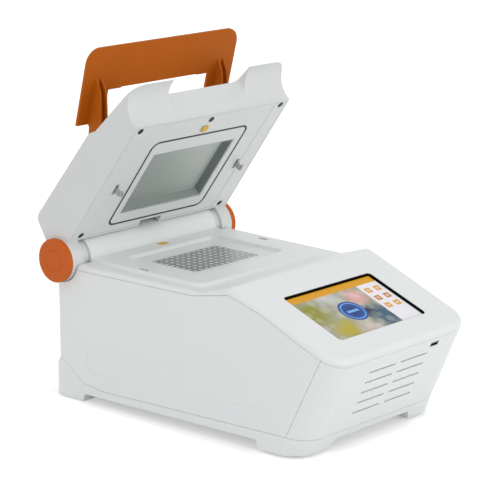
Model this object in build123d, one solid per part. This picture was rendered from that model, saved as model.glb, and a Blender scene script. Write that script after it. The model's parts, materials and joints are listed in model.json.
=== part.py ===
from build123d import *
import math
import os

os.makedirs("parts", exist_ok=True)

# Thermal cycler: a bench instrument that heats and cools 96 small tubes under a heated lid.
# Millimetres. X runs to the right seen from the front, Y to the back, Z up, the bench is Z = 0.
# Everything on the lid is modelled with the lid shut and is then swung open.
# Places on the lid are (s, t): s runs forwards from the hinge axis, t down from it.

# Body form
REAR_Y = 104.2
HALF_WIDTH_REAR = 129.0
SIDE_TAPER_DEG = 1.6
TOE_Z = 26.0
TOE_Y = -263.4
FRONT_LEAN_DEG = 24.2
FOLD_Z = 116.8
BEZEL_DEG = 21.14
SHELF_Z = 162.3
VALLEY_Y = -113.0
BACK_SLOPE_DEG = 17.0
VALLEY_RADIUS = 30.0
CREST_RADIUS = 12.0
CORNER_RADIUS = 28.0
RIM_RADIUS = 6.0
TRAY_Z_REAR = 8.8
TRAY_Z_FRONT = 13.6
WALL = 3.0
SEAM = 0.4

# Seams between the mouldings, as (y, z) points
BASE_SEAM_REAR_Z = 49.0
BASE_SEAM_KNEE = (67.0, 23.3)
BASE_SEAM_LOW = (38.7, 18.8)
BASE_SEAM_CORNER = (-235.8, 24.1)
BASE_SEAM_FRONT_Z = 21.6
TOP_SEAM_REAR_Z = 154.6
TOP_SEAM_DIP = (-103.5, 156.9)
TOP_SEAM_PEAK = (-155.7, 166.5)
TOP_SEAM_DROP = (-200.6, 153.2)
TOP_SEAM_CORNER = (-282.5, 118.0)
TOP_SEAM_FRONT_Z = 109.0
REAR_PANEL_HALF = 116.0

# Foot along the rear, front corner pads and rubber feet
FOOT_REAR_Y = 126.3
FOOT_MID = (118.6, 30.5)
FOOT_FRONT_Y = 66.0
FOOT_Z = 1.0
FOOT_CORNER_RADIUS = 28.0
PAD_Z = 3.0
PAD_REAR_Y = -192.0
PAD_INNER_X = 62.0
PAD_BEVEL = 7.0
RUBBER_RADIUS = 11.0
RUBBER_INSET = 2.0
RUBBER_X = 98.0
RUBBER_FRONT_Y = -232.0
RUBBER_REAR_Y = 96.0

# Raised plateau and the recess over the sample block
PLATEAU_RISE = 3.1
PLATEAU_HALF = 104.4
PLATEAU_FRONT_Y = -99.0
PLATEAU_RADIUS = 12.0
PLATEAU_SLOPE_DEG = 40.0
RECESS_HALF_X = 75.5
RECESS_HALF_Y = 57.5
RECESS_RADIUS = 12.0
RECESS_STEP = 3.5

# Sample block: a skirted 96-well pattern
BLOCK_Y = -6.6
BLOCK_TOP_Z = 160.0
WELL_COLUMNS = 12
WELL_ROWS = 8
WELL_PITCH = 9.0
WELL_TOP_RADIUS = 2.75
WELL_BOTTOM_RADIUS = 1.3
WELL_DEPTH = 14.6
BLOCK_MARGIN = 3.5
BLOCK_HEIGHT = 22.0
BLOCK_GAP = 0.5
PELTIER_SIZE = 33.0
PELTIER_HEIGHT = 3.9
PELTIER_PITCH = 35.0
SINK_HALF_X = 80.0
SINK_HALF_Y = 54.0
SINK_BASE = 10.0
FIN_COUNT = 19
FIN_HEIGHT = 62.0
FIN_THICKNESS = 1.6
LEDGE = 9.0
COLLAR_WIDTH = 8.0

# Side panels
EMBOSS_REAR_Y = 62.0
EMBOSS_FRONT_Y = -211.0
EMBOSS_TOP_REAR_Z = 69.0
EMBOSS_TOP_FRONT_Z = 81.0
EMBOSS_LOW_REAR_Z = 36.0
EMBOSS_LOW_FRONT_Z = 49.0
EMBOSS_DEPTH = 0.5
EMBOSS_RADIUS = 15.0

# Screen, vents and socket on the front
SCREEN_HALF = 73.8
SCREEN_LENGTH = 88.4
SCREEN_TOP_DROP = 39.3
SCREEN_RADIUS = 5.0
GLASS_MARGIN = 5.0
GLASS_THICKNESS = 2.0
DISPLAY_THICKNESS = 7.0
VENT_ROWS = 5
VENT_PITCH = 13.65
VENT_TOP_Z = 91.7
VENT_INNER_X = 4.0
VENT_OUTER_X = 50.3
VENT_HEIGHT = 2.2
USB_X = 57.2
USB_Z = 101.8
USB_WIDTH = 14.0
USB_HEIGHT = 6.2
USB_DEPTH = 15.0
USB_SKIN = 0.5
FIT = 0.3

# Hinge
HINGE_Y = 100.1
HINGE_Z = 165.0
OPEN_DEG = 53.17
BARREL_RADIUS = 25.2
BARREL_HALF = 104.5
BARREL_WALL = 2.5
SADDLE_RADIUS = 27.0
EAR_GAP = 0.5
NECK_LENGTH = 10.0
HUB_LENGTH = 18.0
EAR_IN_X = BARREL_HALF + EAR_GAP
NECK_OUT_X = EAR_IN_X + NECK_LENGTH
HUB_OUT_X = NECK_OUT_X + HUB_LENGTH
NECK_RADIUS = 22.0
HUB_RADIUS = 25.3
HINGE_SHAFT_RADIUS = 8.0
HINGE_BUSH_RADIUS = 10.0
HINGE_BLOCK_REACH = 28.5
HINGE_BLOCK_IN_X = BARREL_HALF - HINGE_BLOCK_REACH
RUNNING_FIT = 0.06
CAP_THICKNESS = 7.2
CAP_RADIUS = 25.5
CAP_GAP = 0.2
CAP_STUB = 4.0
CAP_EDGE = 1.5
CAP_RING_RADIUS = 12.5
CAP_RING_WIDTH = 0.8
CAP_RING_DEPTH = 0.4

# Lid, as (s, t) points
LID_FACE_T = -0.8
LID_REAR_LOW_T = -23.2
LID_REAR_TOP = (13.0, -57.4)
LID_STEP_TOP = (151.8, -52.5)
LID_STEP_LOW = (160.7, -46.5)
LID_TIP = (243.5, -32.4)
LID_REAR_RADIUS = 12.0
LID_STEP_RADIUS = 3.0
LID_EDGE_RADIUS = 3.0
LID_SIDE_STEP = 0.1
LID_HALF_REAR = HUB_OUT_X - LID_SIDE_STEP
LID_CORNER_RADIUS = 20.0
LID_BARREL_CLEARANCE = 2.8
HORN_ARC = (237.4, -2.7)
HORN_ARC_RADIUS = 28.4
HORN_INNER_X = 63.0
MIDDLE_S = 209.6
MIDDLE_LEAN = 0.0987
MIDDLE_RADIUS = 9.0
LID_WALL = 3.0
PANEL_THICKNESS = 3.0
PANEL_STEP = 0.6
PANEL_STEP_HALF = 105.0
PANEL_STEP_FRONT_S = 203.0
NOTCH_X0 = -20.0
NOTCH_X1 = 15.0
NOTCH_S = 37.0
NOTCH_DEPTH = 12.0
SCREW_SIDE_X = 115.5
SCREW_REAR_S = 35.5
SCREW_FRONT_S = 201.5
SCREW_MID_S = 198.5
SCREW_HEAD_RADIUS = 3.8
SCREW_HEAD = 2.0
SCREW_SHANK_RADIUS = 1.5
SCREW_LENGTH = 9.0
SCREW_BOSS_RADIUS = 4.5

# Heated plate in its floating frame, measured at the lid's inner face
GASKET_HALF = 77.8
GASKET_REAR_S = 42.2
GASKET_FRONT_S = 175.0
GASKET_WIDTH = 1.8
GASKET_RADIUS = 10.0
GASKET_PLAY = 0.1
FRAME_FLANGE = 5.0
FRAME_BACK = 1.5
PLATE_HALF = 66.8
PLATE_REAR_S = 59.0
PLATE_FRONT_S = 154.9
PLATE_GAP = 0.5
PLATE_SET_BACK = 1.0
PLATE_RECESS = 8.5
PLATE_WALL_SLOPE = 6.5
PLATE_LIP = 1.5
PLATE_THICKNESS = 5.0
PLATE_TRAVEL = 2.5
HEATER_THICKNESS = 1.0
FELT_THICKNESS = 10.0
LEAF_THICKNESS = 0.8
LEAF_RISE = 8.0
LEAF_WIDTH = 14.0
LEAF_HALF = 40.0
LEAF_S = (80.0, 134.0)
BRIDGE_THICKNESS = 2.0

# Handle and its blades, modelled lowered onto the lid
BLADE_X = (95.4, 103.9)
HANDLE_OVERHANG = 18.6
HANDLE_LEG_INSET = 13.4
HANDLE_NOTCH_INSET = 20.0
HANDLE_HALF = BLADE_X[1] + HANDLE_OVERHANG
HANDLE_CUT_HALF = BLADE_X[0] - HANDLE_LEG_INSET
HANDLE_NOTCH_HALF = HANDLE_CUT_HALF - HANDLE_NOTCH_INSET
HANDLE_LENGTH = 92.0
HANDLE_BAR = 53.0
HANDLE_NOTCH = 1.0
HANDLE_THICKNESS = 3.0
HANDLE_RADIUS = 18.0
HANDLE_EDGE = (246.0, -38.3)
HANDLE_SLOPE = 0.171
HANDLE_RAISE_DEG = 31.8
PIVOT = (107.0, -38.0)
BLADE_THICKNESS = 2.5
BLADE_TIP = 34.5
BLADE_HUB_RADIUS = 13.0
HANDLE_SHAFT_RADIUS = 4.0
CHEEK_THICKNESS = 3.0
CHEEK_INSET = 6.9
CHEEK_OUTSET = 5.1
CHEEK_X = (BLADE_X[0] - CHEEK_INSET, BLADE_X[1] + CHEEK_OUTSET)
SHAFT_IN_CHEEK = 2.5
HANDLE_SHAFT_HALF = CHEEK_X[1] + SHAFT_IN_CHEEK
SLOT_CLEARANCE = 1.0
SLOT_REAR_S = 98.0
SLOT_FRONT_S = 214.0
SLOT_FLOOR_T = -24.0

# Latch hooks: a crank pin on the handle drives a fork on each hook
HOOK_FROM_BLADE = 4.6
HOOK_X = BLADE_X[0] + HOOK_FROM_BLADE
HOOK_THICKNESS = 3.0
HOOK_PIVOT = (107.0, -9.0)
HOOK_PIN_RADIUS = 2.0
HOOK_BOSS_RADIUS = 5.0
CRANK_RADIUS = 10.9
CRANK_PIN_RADIUS = 1.5
CRANK_CLEARANCE = 0.5
FORK_REACH = 23.0
HOOK_REACH = 18.8
NOSE_REACH = 5.5
NOSE_HEIGHT = 3.2
CATCH_SLOT = 15.0
CATCH_SLOT_WIDTH = 5.0
CATCH_MARGIN = 1.1
CATCH_THICKNESS = 1.6
CATCH_LENGTH = 12.0
PANEL_SLOT_REAR = 8.5
PANEL_SLOT_FRONT = 7.5
BRACKET_GAP = 0.6
BRACKET_THICKNESS = 1.5

# Chassis, fans and electrics
CHASSIS_Z = 24.0
CHASSIS_THICKNESS = 1.5
CHASSIS_HALF = 106.0
CHASSIS_FRONT_Y = -222.0
CHASSIS_REAR_Y = 92.0
POST_RADIUS = 4.0
POST_X = 92.0
POST_Y = (-180.0, -60.0, 50.0)
FAN_SIZE = 80.0
FAN_DEPTH = 25.0
FAN_X = 41.0
FAN_BORE_RADIUS = 38.0
FAN_TIP_GAP = 1.0
FAN_HUB_RADIUS = 18.0
FAN_BLADES = 7
FAN_PITCH_DEG = 35.0
FAN_Z = 84.0
FAN_GAP = 2.0
FAN_STRUT = 4.0
FAN_BLADE = 1.6
DUCT_THICKNESS = 1.5
GRILLE_ROWS = 11
GRILLE_PITCH = 6.2
GRILLE_SLOT = 3.0
GRILLE_LENGTH = 34.0
SUPPLY = (92.0, 150.0, 42.0)
BOARD = (96.0, 150.0, 1.6)
BOARD_STANDOFF = 8.0
INLET_X = -100.0
INLET_Z = 76.0
INLET_WIDTH = 28.0
INLET_HEIGHT = 48.0
INLET_DEPTH = 22.0
INLET_FLANGE = 2.0
ROCKER_WIDTH = 20.0
ROCKER_HEIGHT = 13.0
ROCKER_TILT_DEG = 7.0
ROCKER_DEPTH = 9.0
ROCKER_PIVOT = -2.0
ROCKER_PIN_RADIUS = 1.2
ROCKER_PROUD = 1.5
ROCKER_SIDE_GAP = 0.9
SOCKET_DROP = 11.0
SOCKET_WIDTH = 20.0
SOCKET_HEIGHT = 16.0
SOCKET_DEPTH = 16.0


def tan_deg(angle):
    """Tangent of an angle in degrees."""
    return math.tan(math.radians(angle))


def rounded_face(points, radii):
    """Face inside a closed outline whose corners have their own radii."""
    if not isinstance(radii, list):
        radii = [radii] * len(points)
    if not any(radii):
        return make_face(Polyline(*points, close=True).edges())
    return make_face(FilletPolyline(*points, radius=radii, close=True).edges())


def inset_points(points, gap):
    """Corners of a closed outline with every side moved inwards by gap."""
    count = len(points)
    area = sum(points[i - 1][0] * points[i][1] - points[i][0] * points[i - 1][1] for i in range(count))
    inward = math.copysign(gap, area)
    moved = []
    for i in range(count):
        here = Vector(*points[i])
        along_in = (here - Vector(*points[i - 1])).normalized()
        along_out = (Vector(*points[(i + 1) % count]) - here).normalized()
        normal_in = Vector(-along_in.Y, along_in.X)
        normal_out = Vector(-along_out.Y, along_out.X)
        corner = here + (normal_in + normal_out) * (inward / (1 + normal_in.dot(normal_out)))
        moved.append((corner.X, corner.Y))
    return moved


def side_prism(points, x0, x1, radii=0.0):
    """Outline of (y, z) points extruded from x0 to x1."""
    return extrude(Plane.YZ.offset(x0) * rounded_face(points, radii), amount=x1 - x0)


def plan_prism(points, z0, z1, radii=0.0):
    """Outline of (x, y) points extruded from z0 to z1."""
    return extrude(Plane.XY.offset(z0) * rounded_face(points, radii), amount=z1 - z0)


def block(x0, x1, y0, y1, z0, z1):
    """Plain block between two corners."""
    return Pos((x0 + x1) / 2, (y0 + y1) / 2, (z0 + z1) / 2) * Box(abs(x1 - x0), abs(y1 - y0), abs(z1 - z0))


def rod_x(y, z, radius, x0, x1):
    """Round bar along X."""
    return extrude(Plane.YZ.offset(x0) * Pos(y, z) * Circle(radius), amount=x1 - x0)


def rod_z(x, y, radius, z0, z1):
    """Round bar along Z."""
    return extrude(Plane.XY.offset(z0) * Pos(x, y) * Circle(radius), amount=z1 - z0)


def rounded_box(half_x, y0, y1, z0, z1, radius):
    """Upright prism of a rectangle with rounded corners, symmetric in X."""
    return plan_prism([(-half_x, y0), (half_x, y0), (half_x, y1), (-half_x, y1)], z0, z1, radius)


def both_sides(shape):
    """The shape and its mirror image in the plane X = 0."""
    return [shape, mirror(shape, about=Plane.YZ)]


def half_width(y):
    """Half width of the body at depth y."""
    return HALF_WIDTH_REAR - (REAR_Y - y) * tan_deg(SIDE_TAPER_DEG)


def front_y(z):
    """Front face of the body at height z."""
    return TOE_Y - (z - TOE_Z) * tan_deg(FRONT_LEAN_DEG)


def bezel_z(y):
    """Height of the screen bezel at depth y."""
    return FOLD_Z + (y - front_y(FOLD_Z)) * tan_deg(BEZEL_DEG)


def crest_y():
    """Depth at which the back slope meets the bezel."""
    rise = SHELF_Z + VALLEY_Y * tan_deg(BACK_SLOPE_DEG) - bezel_z(0.0)
    return rise / (tan_deg(BEZEL_DEG) + tan_deg(BACK_SLOPE_DEG))


PLATEAU_Z = SHELF_Z + PLATEAU_RISE
BLOCK_HALF_X = (WELL_COLUMNS - 1) * WELL_PITCH / 2 + BLOCK_MARGIN
BLOCK_HALF_Y = (WELL_ROWS - 1) * WELL_PITCH / 2 + BLOCK_MARGIN
BLOCK_BASE_Z = BLOCK_TOP_Z - BLOCK_HEIGHT
SINK_TOP_Z = BLOCK_BASE_Z - PELTIER_HEIGHT
FIN_TOP_Z = SINK_TOP_Z - SINK_BASE
CHASSIS_TOP_Z = CHASSIS_Z + CHASSIS_THICKNESS
CREST_Y = crest_y()
BEZEL_PLANE = Plane(
    origin=(0, CREST_Y, bezel_z(CREST_Y)),
    x_dir=(1, 0, 0),
    z_dir=(0, -math.sin(math.radians(BEZEL_DEG)), math.cos(math.radians(BEZEL_DEG))),
)
FRONT_PLANE = Plane(
    origin=(0, front_y(TOE_Z), TOE_Z),
    x_dir=(1, 0, 0),
    z_dir=(0, -math.cos(math.radians(FRONT_LEAN_DEG)), -math.sin(math.radians(FRONT_LEAN_DEG))),
)
CATCH_S = HOOK_PIVOT[0] + NOSE_REACH + CATCH_MARGIN
FAR = 400.0
OVERRUN = 60.0


def front_up(z):
    """Distance up the front face at height z."""
    return (z - TOE_Z) / math.cos(math.radians(FRONT_LEAN_DEG))


def body_reach(inset=0.0):
    """Everything between the two tapered sides, drawn in by inset."""
    behind = REAR_Y + FAR
    ahead = REAR_Y - 2 * FAR
    plan = [(-half_width(ahead), ahead), (half_width(ahead), ahead),
            (half_width(behind), behind), (-half_width(behind), behind)]
    return plan_prism(inset_points(plan, inset), -FAR, FAR)


def tray_z(y):
    """Underside of the base tray at depth y."""
    along = (REAR_Y + OVERRUN - y) / (REAR_Y + OVERRUN - front_y(TRAY_Z_FRONT))
    return TRAY_Z_REAR + along * (TRAY_Z_FRONT - TRAY_Z_REAR)


def body_form(inset=0.0, rear_low=TRAY_Z_REAR, front_low=TRAY_Z_FRONT):
    """Whole body above its feet, with every face pushed in by inset.

    It is drawn longer than it is, so that its rounded rim runs straight on past the rear wall.
    """
    side = [
        (REAR_Y + OVERRUN, rear_low),
        (REAR_Y + OVERRUN, SHELF_Z),
        (VALLEY_Y, SHELF_Z),
        (CREST_Y, bezel_z(CREST_Y)),
        (front_y(FOLD_Z), FOLD_Z),
        (front_y(front_low), front_low),
    ]
    bends = [0.0, 0.0, VALLEY_RADIUS + inset, CREST_RADIUS - inset, 0.0, 0.0]
    form = side_prism(inset_points(side, inset), -FAR / 2, FAR / 2, bends) & body_reach(inset)
    corners = [edge for edge in form.edges()
               if abs(edge.center().X) > 1 and edge.center().Z < FOLD_Z - 1
               and abs(edge.center().Y - front_y(edge.center().Z)) < inset + 1.5
               and abs(edge.tangent_at(0.5).Z) > 0.5]
    form = fillet(corners, CORNER_RADIUS - inset)
    rim = [edge for edge in form.edges()
           if edge.center().Z > FOLD_Z - inset - 2 and edge.center().Y < REAR_Y + OVERRUN - inset - 1
           and (abs(edge.center().X) > 60 or edge.center().Z < FOLD_Z + 5)]
    form = fillet(rim, max(RIM_RADIUS - inset, 1.0))
    return form & block(-FAR, FAR, -FAR, REAR_Y - inset, -FAR, FAR)


def foot_form(inset=0.0):
    """Swept foot along the rear, pushed in by inset."""
    low = FOOT_Z + inset
    top = BASE_SEAM_REAR_Z - SEAM / 2 - inset
    nose = FOOT_REAR_Y - inset
    curve = ThreePointArc(
        (nose, low + 8.0),
        (FOOT_MID[0] - inset, FOOT_MID[1] - inset / 2),
        (REAR_Y - inset, top),
    )
    sides = Polyline(
        (REAR_Y - inset, top),
        (FOOT_FRONT_Y + inset, top),
        (FOOT_FRONT_Y + inset, TRAY_Z_REAR),
        (FOOT_FRONT_Y + inset + 3.0, low),
        (nose, low),
        (nose, low + 8.0),
    )
    outline = make_face([curve.edge(), *sides.edges()])
    form = extrude(Plane.YZ.offset(-FAR / 2) * outline, amount=FAR)
    wide = half_width(REAR_Y) - inset
    plan = [(-wide, -FAR), (wide, -FAR), (wide, nose), (-wide, nose)]
    bends = [0.0, 0.0, FOOT_CORNER_RADIUS - inset, FOOT_CORNER_RADIUS - inset]
    return form & plan_prism(plan, -FAR, FAR, bends) & body_reach(inset)


def pad_form(inset=0.0):
    """Two corner pads under the front, pushed in by inset."""
    low = PAD_Z + inset
    top = TRAY_Z_FRONT + WALL
    side = [
        (PAD_REAR_Y - inset, top),
        (PAD_REAR_Y - PAD_BEVEL - inset, low),
        (-FAR, low),
        (-FAR, top),
    ]
    front = [
        (PAD_INNER_X + inset, top),
        (FAR, top),
        (FAR, low),
        (PAD_INNER_X + PAD_BEVEL + inset, low),
    ]
    across = extrude(Plane.XZ.offset(-FAR) * rounded_face(front, 0.0), amount=2 * FAR)
    pad = side_prism(side, 0.0, FAR) & across & body_form(inset, PAD_Z, PAD_Z)
    return pad + mirror(pad, about=Plane.YZ)


def base_seam():
    """Seam between the base tray and the panels above it, from the rear to the front."""
    return [
        (FAR, BASE_SEAM_REAR_Z),
        (REAR_Y, BASE_SEAM_REAR_Z),
        BASE_SEAM_KNEE,
        BASE_SEAM_LOW,
        BASE_SEAM_CORNER,
        (front_y(BASE_SEAM_FRONT_Z), BASE_SEAM_FRONT_Z),
        (-FAR, BASE_SEAM_FRONT_Z),
    ]


def top_seam():
    """Seam between the top cover and the panels below it, from the rear to the front."""
    return [
        (FAR, TOP_SEAM_REAR_Z),
        TOP_SEAM_DIP,
        TOP_SEAM_PEAK,
        TOP_SEAM_DROP,
        TOP_SEAM_CORNER,
        (front_y(TOP_SEAM_FRONT_Z), TOP_SEAM_FRONT_Z),
        (-FAR, TOP_SEAM_FRONT_Z),
    ]


def region(points):
    """Prism across the body inside a (y, z) outline, drawn back by half a seam."""
    return side_prism(inset_points(points, SEAM / 2), -FAR / 2, FAR / 2)


def post_places():
    """Middles of the posts that carry the chassis plate."""
    return [(side * POST_X, y) for side in (-1, 1) for y in POST_Y]


def plateau_form():
    """Raised field round the sample block, with sloping sides that run down into the deck."""
    faces = []
    for z in (SHELF_Z - WALL / 2, PLATEAU_Z):
        grow = (PLATEAU_Z - z) * tan_deg(PLATEAU_SLOPE_DEG)
        length = HINGE_Y - PLATEAU_FRONT_Y + grow
        outline = RectangleRounded(2 * (PLATEAU_HALF + grow), length, PLATEAU_RADIUS + grow)
        faces.append(Plane.XY.offset(z) * Pos(0, HINGE_Y - length / 2) * outline)
    return loft(faces, ruled=True)


def hinge_trough():
    """Space for the barrel and, wider, for the lid's hubs on both sides of it."""
    trough = rod_x(HINGE_Y, HINGE_Z, BARREL_RADIUS + FIT, -NECK_OUT_X, NECK_OUT_X)
    for hub in both_sides(rod_x(HINGE_Y, HINGE_Z, SADDLE_RADIUS, BARREL_HALF + FIT, FAR)):
        trough += hub
    return trough


def recess_form():
    """Dish over the sample block: a steep lip, then a floor that falls gently to the block."""
    sections = [
        (RECESS_HALF_X + RECESS_STEP, RECESS_HALF_Y + RECESS_STEP, PLATEAU_Z + RECESS_STEP),
        (RECESS_HALF_X - RECESS_STEP, RECESS_HALF_Y - RECESS_STEP, PLATEAU_Z - RECESS_STEP),
        (BLOCK_HALF_X + 2 * BLOCK_GAP, BLOCK_HALF_Y + 2 * BLOCK_GAP, BLOCK_TOP_Z),
    ]
    faces = [
        Plane.XY.offset(z) * Pos(0, BLOCK_Y) * RectangleRounded(2 * x, 2 * y, RECESS_RADIUS - 3 * i)
        for i, (x, y, z) in enumerate(sections)
    ]
    return loft([faces[0], faces[1]], ruled=True) + loft([faces[1], faces[2]], ruled=True)


def screen_face(grow=0.0):
    """Outline of the screen window on the bezel, grown by a margin."""
    middle = -SCREEN_TOP_DROP - SCREEN_LENGTH / 2
    return BEZEL_PLANE * Pos(0, middle) * RectangleRounded(
        2 * (SCREEN_HALF + grow), SCREEN_LENGTH + 2 * grow, SCREEN_RADIUS)


def screen_hole():
    """Window through the bezel."""
    return extrude(screen_face(), amount=2 * WALL, both=True)


def vent_slots():
    """Two columns of long round-ended slots through the front panel."""
    slots = Part()
    length = VENT_OUTER_X - VENT_INNER_X
    for side in (-1, 1):
        for row in range(VENT_ROWS):
            place = Pos(side * (VENT_INNER_X + length / 2), front_up(VENT_TOP_Z) - row * VENT_PITCH)
            slots += extrude(FRONT_PLANE * place * SlotOverall(length, VENT_HEIGHT), amount=2 * WALL, both=True)
    return slots


def usb_face(grow):
    """Outline of the socket in the front panel, grown by a margin."""
    return FRONT_PLANE * Pos(USB_X, front_up(USB_Z)) * RectangleRounded(
        USB_WIDTH + 2 * grow, USB_HEIGHT + 2 * grow, USB_SKIN)


def usb_hole(grow):
    """Hole for the socket."""
    return extrude(usb_face(grow), amount=2 * WALL, both=True)


def grille_slots():
    """Slots through the rear panel behind both fans."""
    slots = Part()
    for x in (-FAN_X, FAN_X):
        for row in range(GRILLE_ROWS):
            z = FAN_Z + (row - (GRILLE_ROWS - 1) / 2) * GRILLE_PITCH
            slots += block(x - GRILLE_LENGTH, x + GRILLE_LENGTH, REAR_Y - 2 * WALL, FAR,
                           z - GRILLE_SLOT / 2, z + GRILLE_SLOT / 2)
    return slots


def shell_parts():
    """Outer mouldings of the body, cut from one thin shell along the seams."""
    outer = body_form()
    inner = body_form(WALL)
    outer += plateau_form()
    outer -= hinge_trough()
    inner += rounded_box(PLATEAU_HALF - WALL, PLATEAU_FRONT_Y + WALL, HINGE_Y,
                         SHELF_Z - 4 * WALL, PLATEAU_Z - WALL, PLATEAU_RADIUS - WALL)
    inner -= rod_x(HINGE_Y, HINGE_Z, SADDLE_RADIUS + WALL, -FAR, FAR)
    rim = (RECESS_HALF_X, RECESS_HALF_Y)
    inner -= block(-rim[0] - WALL, rim[0] + WALL, BLOCK_Y - rim[1] - WALL, BLOCK_Y + rim[1] + WALL,
                   BLOCK_TOP_Z - WALL, FAR)
    outer -= recess_form()
    outer -= block(-BLOCK_HALF_X - BLOCK_GAP, BLOCK_HALF_X + BLOCK_GAP,
                   BLOCK_Y - BLOCK_HALF_Y - BLOCK_GAP, BLOCK_Y + BLOCK_HALF_Y + BLOCK_GAP, 100, FAR)
    slot_y = HINGE_Y - CATCH_S
    for x in (-HOOK_X, HOOK_X):
        outer -= block(x - CATCH_SLOT_WIDTH / 2, x + CATCH_SLOT_WIDTH / 2,
                       slot_y, slot_y + CATCH_SLOT, PLATEAU_Z - 8, FAR)
        inner += block(x - CATCH_SLOT_WIDTH / 2, x + CATCH_SLOT_WIDTH / 2,
                       slot_y - CATCH_LENGTH, slot_y + WALL, SHELF_Z - 4 * WALL, PLATEAU_Z - WALL)
    base_points = base_seam()
    top_points = top_seam()
    below = region([(-FAR, -FAR), (FAR, -FAR)] + base_points)
    above = region([(-FAR, FAR), (FAR, FAR)] + top_points)
    middle = region(base_points[:5] + top_points[4::-1])
    front = region(base_points[4:] + top_points[:3:-1])

    base = (outer & below) + (foot_form() & below) + pad_form()
    base -= inner + foot_form(WALL) + pad_form(WALL)
    for x in (-RUBBER_X, RUBBER_X):
        for y, z in ((RUBBER_FRONT_Y, PAD_Z), (RUBBER_REAR_Y, FOOT_Z)):
            base += rod_z(x, y, RUBBER_RADIUS + WALL, z, z + 2 * WALL)
            base -= rod_z(x, y, RUBBER_RADIUS + FIT, -1, z + RUBBER_INSET)
    for x, y in post_places():
        base += rod_z(x, y, POST_RADIUS, tray_z(y) + WALL / 2, CHASSIS_Z)

    band = (outer & middle) - inner
    cradle_y = HINGE_Y - SADDLE_RADIUS - 2 * WALL
    half_gap = SEAM / 2
    side = band & block(0, FAR, -FAR, FAR, 0, FAR)
    side -= block(0, REAR_PANEL_HALF + half_gap, cradle_y - half_gap, FAR, 0, FAR)
    emboss = [(EMBOSS_REAR_Y, EMBOSS_LOW_REAR_Z), (EMBOSS_REAR_Y, EMBOSS_TOP_REAR_Z),
              (EMBOSS_FRONT_Y, EMBOSS_TOP_FRONT_Z), (EMBOSS_FRONT_Y, EMBOSS_LOW_FRONT_Z)]
    side -= side_prism(emboss, 60, FAR, EMBOSS_RADIUS) - body_reach(EMBOSS_DEPTH)
    rear = band & block(-REAR_PANEL_HALF + half_gap, REAR_PANEL_HALF - half_gap,
                        cradle_y, FAR, 0, FAR)
    rear -= grille_slots()
    rear -= block(INLET_X - INLET_WIDTH / 2 + WALL, INLET_X + INLET_WIDTH / 2 - WALL,
                  REAR_Y - 10, FAR, INLET_Z - INLET_HEIGHT / 2 + WALL, INLET_Z + INLET_HEIGHT / 2 - WALL)
    face = (outer & front) - inner - vent_slots() - usb_hole(FIT)
    cover = (outer & above) - inner
    cover -= screen_hole()
    return base, side, rear, face, cover



def feet():
    """Four rubber feet, each half sunk in its boss."""
    pads = []
    for x in (-RUBBER_X, RUBBER_X):
        for y, z in ((RUBBER_FRONT_Y, PAD_Z), (RUBBER_REAR_Y, FOOT_Z)):
            pads.append(rod_z(x, y, RUBBER_RADIUS, 0, z + RUBBER_INSET))
    return pads


def screen_parts():
    """Touch glass behind the bezel and the display module behind it."""
    behind = BEZEL_PLANE.offset(-WALL)
    middle = Pos(0, -SCREEN_TOP_DROP - SCREEN_LENGTH / 2)
    wide = 2 * (SCREEN_HALF + GLASS_MARGIN)
    high = SCREEN_LENGTH + 2 * GLASS_MARGIN
    glass = extrude(behind * middle * Rectangle(wide, high), amount=-GLASS_THICKNESS)
    back = BEZEL_PLANE.offset(-WALL - GLASS_THICKNESS)
    display = extrude(back * middle * Rectangle(wide, high), amount=-DISPLAY_THICKNESS)
    ribs = BEZEL_PLANE.offset(-WALL - GLASS_THICKNESS - DISPLAY_THICKNESS)
    display += extrude(ribs * middle * Rectangle(wide / 2, high / 3), amount=-DISPLAY_THICKNESS / 2)
    return glass, display


def usb_parts():
    """Folded metal socket with its tongue."""
    front = FRONT_PLANE * Pos(USB_X, front_up(USB_Z))
    shell = extrude(front * Rectangle(USB_WIDTH, USB_HEIGHT), amount=-USB_DEPTH)
    hollow = front * Rectangle(USB_WIDTH - 2 * USB_SKIN, USB_HEIGHT - 2 * USB_SKIN)
    shell -= extrude(hollow, amount=USB_SKIN - USB_DEPTH)
    tongue_gap = USB_HEIGHT / 5
    tongue = FRONT_PLANE.offset(-1.0) * Pos(USB_X, front_up(USB_Z) + tongue_gap)
    shell += extrude(tongue * Rectangle(USB_WIDTH - 4 * USB_SKIN, USB_HEIGHT / 4), amount=1.0 - USB_DEPTH)
    return shell


def sample_block():
    """Aluminium block with its field of conical wells."""
    body = block(-BLOCK_HALF_X, BLOCK_HALF_X, BLOCK_Y - BLOCK_HALF_Y, BLOCK_Y + BLOCK_HALF_Y,
                 BLOCK_BASE_Z, BLOCK_TOP_Z)
    wells = []
    for column in range(WELL_COLUMNS):
        for row in range(WELL_ROWS):
            x = (column - (WELL_COLUMNS - 1) / 2) * WELL_PITCH
            y = BLOCK_Y + (row - (WELL_ROWS - 1) / 2) * WELL_PITCH
            cone = Cone(WELL_BOTTOM_RADIUS, WELL_TOP_RADIUS, WELL_DEPTH)
            wells.append(Pos(x, y, BLOCK_TOP_Z - WELL_DEPTH / 2) * cone)
    return body - wells


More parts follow.
